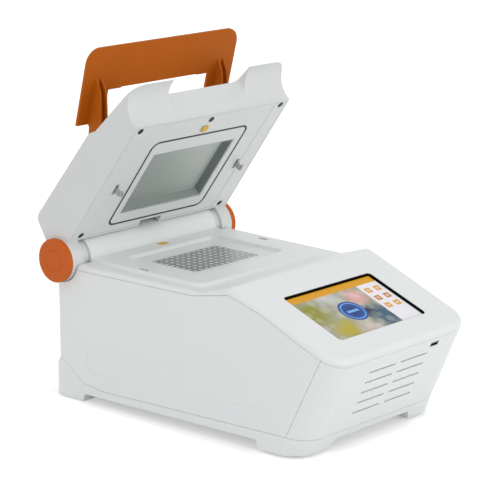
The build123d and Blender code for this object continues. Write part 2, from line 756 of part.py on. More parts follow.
def block_stack():
    """Foam collar, heat pumps and finned heat sink under the block."""
    pumps = []
    for x in (-PELTIER_PITCH, 0.0, PELTIER_PITCH):
        for y in (-PELTIER_PITCH / 2, PELTIER_PITCH / 2):
            half = PELTIER_SIZE / 2
            pumps.append(block(x - half, x + half, BLOCK_Y + y - half, BLOCK_Y + y + half,
                               SINK_TOP_Z, BLOCK_BASE_Z))
    gap = BLOCK_GAP
    collar = block(-BLOCK_HALF_X - COLLAR_WIDTH, BLOCK_HALF_X + COLLAR_WIDTH,
                   BLOCK_Y - BLOCK_HALF_Y - COLLAR_WIDTH, BLOCK_Y + BLOCK_HALF_Y + COLLAR_WIDTH,
                   SINK_TOP_Z, BLOCK_TOP_Z - WALL - gap)
    collar -= block(-BLOCK_HALF_X - gap, BLOCK_HALF_X + gap, BLOCK_Y - BLOCK_HALF_Y - gap,
                    BLOCK_Y + BLOCK_HALF_Y + gap, 0, FAR)
    sink = block(-SINK_HALF_X, SINK_HALF_X, BLOCK_Y - SINK_HALF_Y, BLOCK_Y + SINK_HALF_Y,
                 FIN_TOP_Z, SINK_TOP_Z)
    span = 2 * (SINK_HALF_X - LEDGE - FIN_THICKNESS)
    for i in range(FIN_COUNT):
        x = -span / 2 + i * span / (FIN_COUNT - 1)
        sink += block(x - FIN_THICKNESS / 2, x + FIN_THICKNESS / 2, BLOCK_Y - SINK_HALF_Y,
                      BLOCK_Y + SINK_HALF_Y, FIN_TOP_Z - FIN_HEIGHT, FIN_TOP_Z)
    return collar, pumps, sink


FAN_REAR_Y = REAR_Y - WALL - FAN_GAP
FAN_FRONT_Y = FAN_REAR_Y - FAN_DEPTH


def air_duct():
    """Folded sheet channel: its ledges carry the heat sink, its walls lead the air to the fans."""
    outer_x = SINK_HALF_X + FIT + DUCT_THICKNESS
    wall = block(outer_x - DUCT_THICKNESS, outer_x, BLOCK_Y - SINK_HALF_Y, FAN_FRONT_Y,
                 CHASSIS_TOP_Z, SINK_TOP_Z)
    wall += block(outer_x - LEDGE, outer_x, BLOCK_Y - SINK_HALF_Y, FAN_FRONT_Y,
                  FIN_TOP_Z - DUCT_THICKNESS, FIN_TOP_Z)
    wall += block(outer_x, outer_x + LEDGE, BLOCK_Y - SINK_HALF_Y, BLOCK_Y + SINK_HALF_Y,
                  CHASSIS_TOP_Z, CHASSIS_TOP_Z + DUCT_THICKNESS)
    duct = wall + mirror(wall, about=Plane.YZ)
    duct += block(-outer_x, outer_x, BLOCK_Y + SINK_HALF_Y + FIT, FAN_FRONT_Y,
                  FIN_TOP_Z - DUCT_THICKNESS, FIN_TOP_Z)
    return duct


def chassis():
    """Flat steel plate on the posts of the tray, with a stand under each fan."""
    plate = block(-CHASSIS_HALF, CHASSIS_HALF, CHASSIS_FRONT_Y, CHASSIS_REAR_Y,
                  CHASSIS_Z, CHASSIS_TOP_Z)
    for x in (-FAN_X, FAN_X):
        half = FAN_SIZE / 2 - FIT
        plate += block(x - half, x + half, FAN_FRONT_Y + 3, FAN_FRONT_Y + 5, CHASSIS_TOP_Z,
                       FAN_Z - FAN_SIZE / 2)
    return plate


def fan_frame(x):
    """Square fan frame with a round bore and struts to the motor."""
    half = FAN_SIZE / 2
    frame = block(x - half, x + half, FAN_FRONT_Y, FAN_REAR_Y, FAN_Z - half, FAN_Z + half)
    axis = Plane.XZ.offset(-FAN_REAR_Y) * Pos(x, FAN_Z)
    frame -= extrude(axis * Circle(FAN_BORE_RADIUS), amount=FAN_DEPTH)
    struts = extrude(axis * Circle(FAN_HUB_RADIUS), amount=FAN_STRUT)
    for angle in (45, 165, 285):
        arm = axis * Rot(0, 0, angle) * Pos(FAN_BORE_RADIUS / 2, 0) * Rectangle(FAN_BORE_RADIUS + 2, FAN_STRUT)
        struts += extrude(arm, amount=FAN_STRUT)
    return frame + struts


def fan_rotor(x):
    """Hub with pitched blades, turning about its axis along Y."""
    axis = Plane.XZ.offset(-FAN_REAR_Y + FAN_STRUT + FIT) * Pos(x, FAN_Z)
    depth = FAN_DEPTH - FAN_STRUT - 3 * FIT
    rotor = extrude(axis * Circle(FAN_HUB_RADIUS), amount=depth)
    ring = extrude(axis * Circle(FAN_BORE_RADIUS - FAN_TIP_GAP), amount=depth)
    reach = FAN_BORE_RADIUS
    for i in range(FAN_BLADES):
        blade = Rot(FAN_PITCH_DEG, 0, 0) * Pos(reach / 2, 0, 0) * Box(reach, FAN_DEPTH, FAN_BLADE)
        turned = Rot(0, i * 360 / FAN_BLADES, 0) * blade
        rotor += (Pos(x, FAN_REAR_Y - FAN_STRUT - FIT - depth / 2, FAN_Z) * turned) & ring
    return rotor


def electrics():
    """Power supply box and control board with its standoffs and parts."""
    wide, deep, high = SUPPLY
    rear_y = BLOCK_Y - SINK_HALF_Y - BOARD_STANDOFF
    left = -CHASSIS_HALF + FIT
    supply = block(left, left + wide, rear_y - deep, rear_y, CHASSIS_TOP_Z, CHASSIS_TOP_Z + high)
    supply -= block(left + 2, left + wide - 2, rear_y - deep - 1, rear_y - deep + 20,
                    CHASSIS_TOP_Z + high / 3, CHASSIS_TOP_Z + high + 1)
    wide, deep, thick = BOARD
    right = CHASSIS_HALF - FIT
    low = CHASSIS_TOP_Z + BOARD_STANDOFF
    board = block(right - wide, right, rear_y - deep, rear_y, low, low + thick)
    for x in (right - wide + 6, right - 6):
        for y in (rear_y - deep + 6, rear_y - 6):
            board += rod_z(x, y, 3.0, CHASSIS_TOP_Z, low)
    for x, y, w, d, h in ((0.3, 0.3, 30, 30, 14), (0.7, 0.65, 22, 40, 10), (0.72, 0.2, 26, 18, 20)):
        at_x, at_y = right - wide * (1 - x), rear_y - deep * (1 - y)
        board += block(at_x - w / 2, at_x + w / 2, at_y - d / 2, at_y + d / 2, low, low + thick + h)
    return supply, board


def power_inlet():
    """Mains inlet and switch housing in the rear panel, with the rocker in its window."""
    half_w, half_h = INLET_WIDTH / 2, INLET_HEIGHT / 2
    back = REAR_Y
    housing = block(INLET_X - half_w + WALL + FIT, INLET_X + half_w - WALL - FIT, back - INLET_DEPTH, back,
                    INLET_Z - half_h + WALL + FIT, INLET_Z + half_h - WALL - FIT)
    housing += block(INLET_X - half_w, INLET_X + half_w, back, back + INLET_FLANGE,
                     INLET_Z - half_h, INLET_Z + half_h)
    socket_z = INLET_Z - SOCKET_DROP
    housing -= block(INLET_X - SOCKET_WIDTH / 2, INLET_X + SOCKET_WIDTH / 2, back - SOCKET_DEPTH, FAR,
                     socket_z - SOCKET_HEIGHT / 2, socket_z + SOCKET_HEIGHT / 2)
    for dx, dz in ((-6.0, -2.0), (0.0, 3.0), (6.0, -2.0)):
        housing += block(INLET_X + dx - 1, INLET_X + dx + 1, back - SOCKET_DEPTH, back - 3,
                         socket_z + dz - 2, socket_z + dz + 2)
    rocker_z = INLET_Z + SOCKET_DROP
    housing -= block(INLET_X - ROCKER_WIDTH / 2, INLET_X + ROCKER_WIDTH / 2, back - ROCKER_DEPTH, FAR,
                     rocker_z - ROCKER_HEIGHT / 2, rocker_z + ROCKER_HEIGHT / 2)
    pin = rod_x(back + ROCKER_PIVOT, rocker_z, ROCKER_PIN_RADIUS, INLET_X - ROCKER_WIDTH / 2 - 1,
                INLET_X + ROCKER_WIDTH / 2 + 1)
    housing += pin
    half = ROCKER_HEIGHT / 2 - ROCKER_SIDE_GAP
    rise = half * tan_deg(ROCKER_TILT_DEG)
    face_y = back + INLET_FLANGE + ROCKER_PROUD
    rocker = side_prism(
        [(back - ROCKER_DEPTH / 2, rocker_z - half / 2), (face_y - rise, rocker_z - half),
         (face_y - 2 * rise, rocker_z), (face_y - rise, rocker_z + half),
         (back - ROCKER_DEPTH / 2, rocker_z + half / 2)],
        INLET_X - ROCKER_WIDTH / 2 + FIT, INLET_X + ROCKER_WIDTH / 2 - FIT)
    rocker -= rod_x(back + ROCKER_PIVOT, rocker_z, ROCKER_PIN_RADIUS + RUNNING_FIT, -FAR, FAR)
    tilt = Pos(0, back + ROCKER_PIVOT, rocker_z) * Rot(ROCKER_TILT_DEG, 0, 0)
    rocker = tilt * Pos(0, -back - ROCKER_PIVOT, -rocker_z) * rocker
    return housing, rocker


def hinge_parts():
    """Barrel between the ears, with the blocks that hold a shaft at each end."""
    barrel = rod_x(HINGE_Y, HINGE_Z, BARREL_RADIUS, -BARREL_HALF, BARREL_HALF)
    core = BARREL_HALF - BARREL_WALL
    barrel -= rod_x(HINGE_Y, HINGE_Z, BARREL_RADIUS - BARREL_WALL, -core, core)
    barrel -= rod_x(HINGE_Y, HINGE_Z, HINGE_SHAFT_RADIUS + RUNNING_FIT, -FAR, FAR)
    holder = rod_x(HINGE_Y, HINGE_Z, BARREL_RADIUS - BARREL_WALL - FIT, HINGE_BLOCK_IN_X, core)
    holder -= rod_x(HINGE_Y, HINGE_Z, HINGE_SHAFT_RADIUS + RUNNING_FIT, 0, FAR)
    holder -= block(0, FAR, -FAR, FAR, HINGE_Z + BARREL_RADIUS / 2, FAR)
    shaft = rod_x(HINGE_Y, HINGE_Z, HINGE_SHAFT_RADIUS, HINGE_BLOCK_IN_X - 5, HUB_OUT_X - CAP_STUB - 1)
    bush = rod_x(HINGE_Y, HINGE_Z, HINGE_BUSH_RADIUS, EAR_IN_X, HUB_OUT_X - CAP_STUB - 1)
    bush -= rod_x(HINGE_Y, HINGE_Z, HINGE_SHAFT_RADIUS + RUNNING_FIT, 0, FAR)
    return barrel, both_sides(holder), both_sides(shaft), both_sides(bush)


def lid_place(s, t):
    """Depth and height of a place on the shut lid."""
    return HINGE_Y - s, HINGE_Z - t


def lid_places(points):
    """Depths and heights of several places on the shut lid."""
    return [lid_place(s, t) for s, t in points]


def lid_block(x0, x1, s0, s1, t0, t1):
    """Plain block on the shut lid."""
    return block(x0, x1, HINGE_Y - s0, HINGE_Y - s1, HINGE_Z - t0, HINGE_Z - t1)


def lid_window(half_x, s0, s1, t0, t1, radius):
    """Upright prism of a rounded rectangle on the shut lid."""
    return rounded_box(half_x, HINGE_Y - s1, HINGE_Y - s0, HINGE_Z - t1, HINGE_Z - t0, radius)


def lid_form(inset=0.0, face_t=LID_FACE_T):
    """Lid moulding in side and plan view, with every face pushed in by inset."""
    side = lid_places([
        (0.0, face_t), (0.0, LID_REAR_LOW_T), LID_REAR_TOP, LID_STEP_TOP, LID_STEP_LOW,
        LID_TIP, (LID_TIP[0], face_t),
    ])
    bends = [0.0, 0.0, LID_REAR_RADIUS - inset, LID_STEP_RADIUS, LID_STEP_RADIUS + inset, 0.0, 0.0]
    form = side_prism(inset_points(side, inset), -FAR / 2, FAR / 2, bends)
    taper = tan_deg(SIDE_TAPER_DEG)
    tip = LID_TIP[0]
    plan = [
        (-LID_HALF_REAR, HINGE_Y),
        (-LID_HALF_REAR + tip * taper, HINGE_Y - tip),
        (LID_HALF_REAR - tip * taper, HINGE_Y - tip),
        (LID_HALF_REAR, HINGE_Y),
    ]
    round_front = LID_CORNER_RADIUS - inset
    form &= plan_prism(inset_points(plan, inset), 0, FAR, [0.0, round_front, round_front, 0.0])
    if inset == 0:
        rim = [edge for edge in form.edges()
               if edge.center().Z > HINGE_Z - LID_TIP[1] - 2 and edge.center().Y < HINGE_Y - LID_REAR_TOP[0]
               and (abs(edge.center().X) > 60 or edge.center().Y < HINGE_Y - tip + 1)]
        form = fillet(rim, LID_EDGE_RADIUS)
    form -= rod_x(*lid_place(*HORN_ARC), HORN_ARC_RADIUS + inset, -FAR, FAR)
    cut = [(-HORN_INNER_X - inset, HINGE_Y - MIDDLE_S + inset), (-HORN_INNER_X - inset, -FAR),
           (HORN_INNER_X + inset, -FAR), (HORN_INNER_X + inset, HINGE_Y - MIDDLE_S + inset)]
    round_cut = MIDDLE_RADIUS + inset
    cut_face = Plane.XY.offset(HINGE_Z - FAR / 10) * Pos(0, MIDDLE_LEAN * FAR / 10) \
        * rounded_face(cut, [round_cut, 0.0, 0.0, round_cut])
    form -= extrude(cut_face, amount=FAR / 2, dir=(0, -MIDDLE_LEAN, 1))
    inner_x = NECK_OUT_X if inset == 0 else FAR
    form -= rod_x(HINGE_Y, HINGE_Z, BARREL_RADIUS + LID_BARREL_CLEARANCE + inset, -inner_x, inner_x)
    return form


def screw_places():
    """Screws of the lid's inner panel, as (x, s)."""
    return [(-SCREW_SIDE_X, SCREW_REAR_S), (SCREW_SIDE_X, SCREW_REAR_S),
            (-SCREW_SIDE_X, SCREW_FRONT_S), (SCREW_SIDE_X, SCREW_FRONT_S), (0.0, SCREW_MID_S)]


PANEL_BACK_T = LID_FACE_T - PANEL_THICKNESS
PLATE_FACE_T = LID_FACE_T - PLATE_SET_BACK
PLATE_FLOOR_T = LID_FACE_T - PLATE_RECESS
PLATE_BACK_T = PLATE_FLOOR_T - PLATE_THICKNESS
FELT_T = PLATE_BACK_T - HEATER_THICKNESS
LEAF_T = FELT_T - FELT_THICKNESS
LEAF_TOP_T = LEAF_T - LEAF_RISE - LEAF_THICKNESS


def lid_shell():
    """White outer moulding of the lid with its horns, ears, shaft cheeks and screw bosses."""
    outer = lid_form()
    for x0, x1, radius in ((EAR_IN_X, NECK_OUT_X + 1, NECK_RADIUS), (NECK_OUT_X, HUB_OUT_X, HUB_RADIUS)):
        for ear in both_sides(rod_x(HINGE_Y, HINGE_Z, radius, x0, x1)):
            outer += ear
    hollow = lid_form(LID_WALL, face_t=2 * LID_WALL)
    lip = CHEEK_THICKNESS
    fixed = Part()
    for x in CHEEK_X:
        low = PIVOT[1] + HANDLE_SHAFT_RADIUS + lip
        cheek = lid_block(x, x + lip, PIVOT[0] - 9, PIVOT[0] + 9, LID_REAR_TOP[1], low)
        for one in both_sides(cheek):
            fixed += one
    for x, s in screw_places():
        y, z = lid_place(s, PANEL_BACK_T)
        fixed += rod_z(x, y, SCREW_BOSS_RADIUS, z, z + FAR)
    for s in LEAF_S:
        fixed += lid_block(-LEAF_WIDTH, LEAF_WIDTH, s - LID_WALL, s + LID_WALL, LID_REAR_TOP[1],
                           LEAF_TOP_T - PLATE_TRAVEL - FIT)
    shell = outer - (hollow - fixed)
    for x, s in screw_places():
        y, z = lid_place(s, PANEL_BACK_T)
        shell -= rod_z(x, y, SCREW_SHANK_RADIUS + RUNNING_FIT, z - 1, z + SCREW_LENGTH)
    shell -= rod_x(*lid_place(*PIVOT), HANDLE_SHAFT_RADIUS + RUNNING_FIT, -HANDLE_SHAFT_HALF - 1,
                   HANDLE_SHAFT_HALF + 1)
    shell -= rod_x(HINGE_Y, HINGE_Z, HINGE_BUSH_RADIUS + RUNNING_FIT, -FAR, FAR)
    low_x = BLADE_X[0] - BLADE_THICKNESS / 2 - SLOT_CLEARANCE
    high_x = BLADE_X[1] + BLADE_THICKNESS / 2 + SLOT_CLEARANCE
    slot = lid_block(low_x, high_x, SLOT_REAR_S, SLOT_FRONT_S, -FAR / 4, SLOT_FLOOR_T)
    for one in both_sides(slot):
        shell -= one
    shell -= lid_block(NOTCH_X0, NOTCH_X1, 0, NOTCH_S, -NOTCH_DEPTH, FAR / 4)
    return shell


def lid_panel():
    """Inner panel of the lid, with windows for the plate frame, the hooks and the screws."""
    panel = lid_form(LID_WALL + FIT, face_t=2 * LID_WALL)
    panel &= lid_block(-FAR, FAR, -FAR, FAR, PANEL_BACK_T, LID_FACE_T)
    panel -= lid_block(-PANEL_STEP_HALF, PANEL_STEP_HALF, 0, PANEL_STEP_FRONT_S,
                       LID_FACE_T - PANEL_STEP, FAR / 4)
    half = GASKET_WIDTH / 2 + GASKET_PLAY
    panel -= lid_window(GASKET_HALF + half, GASKET_REAR_S - half, GASKET_FRONT_S + half, -FAR / 4, FAR / 4,
                        GASKET_RADIUS + half)
    s = HOOK_PIVOT[0]
    for x in (-HOOK_X, HOOK_X):
        panel -= lid_block(x - CATCH_SLOT_WIDTH / 2, x + CATCH_SLOT_WIDTH / 2, s - PANEL_SLOT_REAR,
                           s + PANEL_SLOT_FRONT, -FAR / 4, FAR / 4)
    panel -= lid_block(NOTCH_X0, NOTCH_X1, 0, NOTCH_S, -FAR / 4, FAR / 4)
    for x, s in screw_places():
        y, z = lid_place(s, LID_FACE_T)
        panel -= rod_z(x, y, SCREW_HEAD_RADIUS + FIT, z - 1, z + SCREW_HEAD)
        panel -= rod_z(x, y, SCREW_SHANK_RADIUS + RUNNING_FIT, z, z + FAR)
    return panel


def lid_screws():
    """Black screws that hold the inner panel."""
    screws = []
    for x, s in screw_places():
        y, z = lid_place(s, LID_FACE_T)
        head = rod_z(x, y, SCREW_HEAD_RADIUS, z + FIT, z + SCREW_HEAD)
        screws.append(head + rod_z(x, y, SCREW_SHANK_RADIUS, z + SCREW_HEAD, z + SCREW_LENGTH))
    return screws


def heater_parts():
    """Gasket, frame, dished hot plate, heater mat, felt and the leaf springs behind them."""
    face_t = LID_FACE_T - PANEL_STEP
    half = GASKET_WIDTH / 2
    gasket = lid_window(GASKET_HALF + half, GASKET_REAR_S - half, GASKET_FRONT_S + half,
                        PANEL_BACK_T, face_t - FIT, GASKET_RADIUS + half)
    gasket -= lid_window(GASKET_HALF - half, GASKET_REAR_S + half, GASKET_FRONT_S - half,
                         -FAR / 4, FAR / 4, GASKET_RADIUS - half)
    inner = half + GASKET_PLAY
    frame = lid_window(GASKET_HALF - inner, GASKET_REAR_S + inner, GASKET_FRONT_S - inner,
                       PANEL_BACK_T, face_t, GASKET_RADIUS - inner)
    frame += lid_window(GASKET_HALF + FRAME_FLANGE, GASKET_REAR_S - FRAME_FLANGE,
                        GASKET_FRONT_S + FRAME_FLANGE, PANEL_BACK_T - FRAME_BACK, PANEL_BACK_T,
                        GASKET_RADIUS + FRAME_FLANGE)
    frame -= lid_window(PLATE_HALF, PLATE_REAR_S, PLATE_FRONT_S, -FAR / 4, FAR / 4, PLATE_GAP)
    gap = PLATE_GAP
    plate = lid_block(-PLATE_HALF + gap, PLATE_HALF - gap, PLATE_REAR_S + gap, PLATE_FRONT_S - gap,
                      PLATE_BACK_T, PLATE_FACE_T)
    middle_s = (PLATE_REAR_S + PLATE_FRONT_S) / 2
    length = PLATE_FRONT_S - PLATE_REAR_S
    sections = []
    for draw, t in ((gap + PLATE_LIP - PLATE_WALL_SLOPE, PLATE_FACE_T + PLATE_FACE_T - PLATE_FLOOR_T),
                    (gap + PLATE_LIP + PLATE_WALL_SLOPE, PLATE_FLOOR_T)):
        y, z = lid_place(middle_s, t)
        sections.append(Plane.XY.offset(z) * Pos(0, y) * Rectangle(2 * (PLATE_HALF - draw), length - 2 * draw))
    plate -= loft(sections, ruled=True)
    pad = gap + PLATE_WALL_SLOPE
    heater = lid_block(-PLATE_HALF + pad, PLATE_HALF - pad, PLATE_REAR_S + pad, PLATE_FRONT_S - pad,
                       FELT_T, PLATE_BACK_T)
    felt = lid_block(-PLATE_HALF + gap, PLATE_HALF - gap, PLATE_REAR_S + gap, PLATE_FRONT_S - gap,
                     LEAF_T, FELT_T)
    leaves = [leaf_spring(s) for s in LEAF_S]
    return gasket, frame, plate, heater, felt, leaves


def leaf_spring(s):
    """Bowed steel strip across the back of the heater."""
    z = HINGE_Z - LEAF_T
    strip = Plane.XZ.offset(-(HINGE_Y - s - LEAF_WIDTH / 2))
    lower = ThreePointArc((-LEAF_HALF, z), (0, z + LEAF_RISE), (LEAF_HALF, z))
    upper = ThreePointArc((-LEAF_HALF, z + LEAF_THICKNESS), (0, z + LEAF_RISE + LEAF_THICKNESS),
                          (LEAF_HALF, z + LEAF_THICKNESS))
    ends = [Line(upper @ 0, lower @ 0), Line(lower @ 1, upper @ 1)]
    outline = make_face([lower.edge(), ends[1].edge(), upper.edge(), ends[0].edge()])
    return extrude(strip * outline, amount=LEAF_WIDTH)


def handle_t(s, drop=0.0):
    """Level of the lowered handle's top, or of a plane a little below it, at place s."""
    return HANDLE_EDGE[1] - (HANDLE_EDGE[0] - s) * HANDLE_SLOPE + drop * math.hypot(1, HANDLE_SLOPE)


def handle_parts():
    """Orange handle with two blades on each side, its shaft and the two crank pins."""
    y, z = lid_place(*HANDLE_EDGE)
    tilt = math.atan(HANDLE_SLOPE)
    top = Plane(origin=(0, y, z), x_dir=(1, 0, 0), z_dir=(0, -math.sin(tilt), math.cos(tilt)))
    outline = [
        (-HANDLE_HALF, 0), (HANDLE_HALF, 0), (HANDLE_HALF, HANDLE_LENGTH),
        (HANDLE_CUT_HALF, HANDLE_LENGTH), (HANDLE_CUT_HALF, HANDLE_BAR),
        (HANDLE_NOTCH_HALF, HANDLE_BAR), (HANDLE_NOTCH_HALF, HANDLE_BAR - HANDLE_NOTCH),
        (-HANDLE_NOTCH_HALF, HANDLE_BAR - HANDLE_NOTCH), (-HANDLE_NOTCH_HALF, HANDLE_BAR),
        (-HANDLE_CUT_HALF, HANDLE_BAR), (-HANDLE_CUT_HALF, HANDLE_LENGTH),
        (-HANDLE_HALF, HANDLE_LENGTH),
    ]
    bends = [HANDLE_RADIUS] * 2 + [0.0] * 10
    handle = extrude(top * rounded_face(outline, bends), amount=-HANDLE_THICKNESS)
    tip_s = HANDLE_EDGE[0] - BLADE_TIP
    leg_s = HANDLE_EDGE[0] - HANDLE_LENGTH
    hub_s, hub_t = PIVOT
    inside = HANDLE_THICKNESS / 2
    blade_side = lid_places([
        (tip_s, handle_t(tip_s, inside)),
        (leg_s + 2, handle_t(leg_s + 2, inside)),
        (leg_s - 2, hub_t - BLADE_HUB_RADIUS + 1.5),
        (hub_s, hub_t - BLADE_HUB_RADIUS),
        (hub_s, hub_t + BLADE_HUB_RADIUS),
        (leg_s - 6, hub_t + 9.0),
        (tip_s - 17, hub_t + 4.5),
    ])
    bends = [0.0, 0.0, 2.0, 0.0, 0.0, 40.0, 22.0]
    hub_y, hub_z = lid_place(*PIVOT)
    for x in BLADE_X:
        x0, x1 = x - BLADE_THICKNESS / 2, x + BLADE_THICKNESS / 2
        blade = side_prism(blade_side, x0, x1, bends) + rod_x(hub_y, hub_z, BLADE_HUB_RADIUS, x0, x1)
        for one in both_sides(blade):
            handle += one
    handle -= rod_x(hub_y, hub_z, HANDLE_SHAFT_RADIUS + RUNNING_FIT / 2, -FAR, FAR)
    shaft = rod_x(hub_y, hub_z, HANDLE_SHAFT_RADIUS, -HANDLE_SHAFT_HALF, HANDLE_SHAFT_HALF)
    crank_place = Pos(0, hub_y, hub_z) * Rot(HANDLE_RAISE_DEG, 0, 0) * Pos(0, 0, -CRANK_RADIUS)
    crank = crank_place * rod_x(0, 0, CRANK_PIN_RADIUS, BLADE_X[0] - 1, BLADE_X[1] + 1)
    for hole in both_sides(crank_place * rod_x(0, 0, CRANK_PIN_RADIUS + RUNNING_FIT / 2, BLADE_X[0] - 2,
                                               BLADE_X[1] + 2)):
        handle -= hole
    return handle, shaft, both_sides(crank)


def hook():
    """Latch hook: a fork above its pivot, a shank through the panel and a nose at the tip."""
    s, t = HOOK_PIVOT
    slot = CRANK_PIN_RADIUS + CRANK_CLEARANCE
    prong = slot + 2.2
    crank_t = PIVOT[1] + CRANK_RADIUS - HOOK_PIVOT[1]
    slot_low = crank_t + CRANK_PIN_RADIUS + CRANK_CLEARANCE + 0.5
    nose_top = HOOK_REACH - NOSE_HEIGHT
    shape = [
        (-3.2, 0.0), (-prong, -14.0), (-prong, -FORK_REACH), (-slot, -FORK_REACH), (-slot, slot_low),
        (slot, slot_low), (slot, -FORK_REACH), (prong, -FORK_REACH), (prong, -14.0), (3.2, 0.0),
        (2.4, nose_top - 0.6), (NOSE_REACH, nose_top), (NOSE_REACH, HOOK_REACH - 0.8),
        (NOSE_REACH - 1.2, HOOK_REACH), (-1.5, HOOK_REACH), (-3.4, HOOK_REACH - 4.5),
    ]
    outline = lid_places([(s + ds, t + dt) for ds, dt in shape])
    x0, x1 = HOOK_X - HOOK_THICKNESS / 2, HOOK_X + HOOK_THICKNESS / 2
    lever = side_prism(outline, x0, x1) + rod_x(*lid_place(s, t), HOOK_BOSS_RADIUS, x0, x1)
    return lever - rod_x(*lid_place(s, t), HOOK_PIN_RADIUS + RUNNING_FIT, 0, FAR)


def hook_mounts():
    """Folded bracket and pin that carry each hook on the back of the panel."""
    s, t = HOOK_PIVOT
    inner = HOOK_THICKNESS / 2 + BRACKET_GAP
    outer = inner + BRACKET_THICKNESS
    bracket = lid_block(HOOK_X - outer, HOOK_X + outer, s - 12, s + 11, PANEL_BACK_T - BRACKET_THICKNESS,
                        PANEL_BACK_T)
    bracket += lid_block(HOOK_X - outer, HOOK_X + outer, s - 4, s + 4, t - 4, PANEL_BACK_T)
    bracket -= lid_block(HOOK_X - inner, HOOK_X + inner, s - PANEL_SLOT_REAR, s + PANEL_SLOT_FRONT,
                         -FAR / 4, FAR / 4)
    bracket -= rod_x(*lid_place(s, t), HOOK_PIN_RADIUS + RUNNING_FIT / 2, 0, FAR)
    pin = rod_x(*lid_place(s, t), HOOK_PIN_RADIUS, HOOK_X - outer - 0.4, HOOK_X + outer + 0.4)
    return both_sides(bracket), both_sides(pin)


def catches():
    """Steel strips under the deck, in front of each catch slot."""
    strip = block(HOOK_X - CATCH_SLOT_WIDTH, PLATEAU_HALF - WALL - FIT, HINGE_Y - CATCH_S - CATCH_LENGTH,
                  HINGE_Y - CATCH_S, PLATEAU_Z - WALL - CATCH_THICKNESS, PLATEAU_Z - WALL)
    return both_sides(strip)


def hinge_cap():
    """Orange cap on the hub, with a ring groove on its face and a stub in the bore."""
    x = HUB_OUT_X + CAP_GAP
    cap = rod_x(HINGE_Y, HINGE_Z, CAP_RADIUS, x, x + CAP_THICKNESS)
    cap = fillet(cap.edges().sort_by(Axis.X)[-1], CAP_EDGE)
    face = x + CAP_THICKNESS
    ring = rod_x(HINGE_Y, HINGE_Z, CAP_RING_RADIUS + CAP_RING_WIDTH, face - CAP_RING_DEPTH, face + 1)
    ring -= rod_x(HINGE_Y, HINGE_Z, CAP_RING_RADIUS, 0, FAR)
    cap -= ring
    return cap + rod_x(HINGE_Y, HINGE_Z, HINGE_BUSH_RADIUS - RUNNING_FIT, x - CAP_STUB, x)


def swing(shape, axis, angle):
    """Turn a shape, or each of several, about an axis along X at a (y, z) place."""
    if isinstance(shape, list):
        return [swing(one, axis, angle) for one in shape]
    y, z = axis
    return Pos(0, y, z) * Rot(angle, 0, 0) * Pos(0, -y, -z) * shape


base, side, rear, face, cover = shell_parts()
glass, display = screen_parts()
collar, pumps, sink = block_stack()
supply, board = electrics()
inlet, rocker = power_inlet()
barrel, hinge_blocks, hinge_shafts, hinge_bushes = hinge_parts()
fixed_parts = {
    "base_tray": base,
    "rubber_feet": feet(),
    "right_side_panel": side,
    "left_side_panel": mirror(side, about=Plane.YZ),
    "rear_panel": rear,
    "front_panel": face,
    "top_cover": cover,
    "touch_glass": glass,
    "display_module": display,
    "usb_port": usb_parts(),
    "sample_block": sample_block(),
    "block_collar": collar,
    "heat_pumps": pumps,
    "heat_sink": sink,
    "air_duct": air_duct(),
    "chassis_plate": chassis(),
    "left_fan_frame": fan_frame(-FAN_X),
    "right_fan_frame": fan_frame(FAN_X),
    "left_fan_rotor": fan_rotor(-FAN_X),
    "right_fan_rotor": fan_rotor(FAN_X),
    "power_supply": supply,
    "control_board": board,
    "power_inlet": inlet,
    "power_rocker": rocker,
    "hinge_barrel": barrel,
    "hinge_blocks": hinge_blocks,
    "hinge_shafts": hinge_shafts,
    "latch_catches": catches(),
}

gasket, frame, plate, heater, felt, leaves = heater_parts()
brackets, hook_pins = hook_mounts()
cap = hinge_cap()
latch_hook = hook()
lid_parts = {
    "lid_shell": lid_shell(),
    "lid_panel": lid_panel(),
    "lid_screws": lid_screws(),
    "lid_gasket": gasket,
    "plate_frame": frame,
    "heated_plate": plate,
    "heater_mat": heater,
    "heater_felt": felt,
    "leaf_springs": leaves,
    "hinge_bushes": hinge_bushes,
    "right_hinge_cap": cap,
    "left_hinge_cap": mirror(cap, about=Plane.YZ),
    "hook_brackets": brackets,
    "hook_pins": hook_pins,
    "right_hook": latch_hook,
    "left_hook": mirror(latch_hook, about=Plane.YZ),
}
handle, handle_shaft, crank_pins = handle_parts()
handle_group = {"handle": handle, "handle_shaft": handle_shaft, "crank_pins": crank_pins}
for name, piece in handle_group.items():
    lid_parts[name] = swing(piece, lid_place(*PIVOT), -HANDLE_RAISE_DEG)

pieces = dict(fixed_parts)
for name, piece in lid_parts.items():
    pieces[name] = swing(piece, (HINGE_Y, HINGE_Z), -OPEN_DEG)

boxes = [one.bounding_box() for piece in pieces.values()
         for one in (piece if isinstance(piece, list) else [piece])]
shift_y = -(min(box.min.Y for box in boxes) + max(box.max.Y for box in boxes)) / 2
for name, piece in pieces.items():
    if isinstance(piece, list):
        group = [solid for one in piece for solid in (Pos(0, shift_y, 0) * one).solids()]
        export_step(Compound(group), f"parts/{name}.step")
    else:
        export_step(Pos(0, shift_y, 0) * piece, f"parts/{name}.step")


def report_axis(name, y, z):
    """Print where an axis lies in the finished frame."""
    print(f"{name}: y {y + shift_y:.3f}, z {z:.3f}")


def opened(s, t):
    """Place on the open lid."""
    y, z = lid_place(s, t)
    turn = math.radians(-OPEN_DEG)
    dy, dz = y - HINGE_Y, z - HINGE_Z
    return (HINGE_Y + dy * math.cos(turn) - dz * math.sin(turn),
            HINGE_Z + dy * math.sin(turn) + dz * math.cos(turn))


print(f"shift_y {shift_y:.3f}")
report_axis("hinge", HINGE_Y, HINGE_Z)
report_axis("handle pivot", *opened(*PIVOT))
report_axis("hook pivot", *opened(*HOOK_PIVOT))
report_axis("fan axis", FAN_FRONT_Y, FAN_Z)
report_axis("rocker axis", REAR_Y + ROCKER_PIVOT, INLET_Z + SOCKET_DROP)
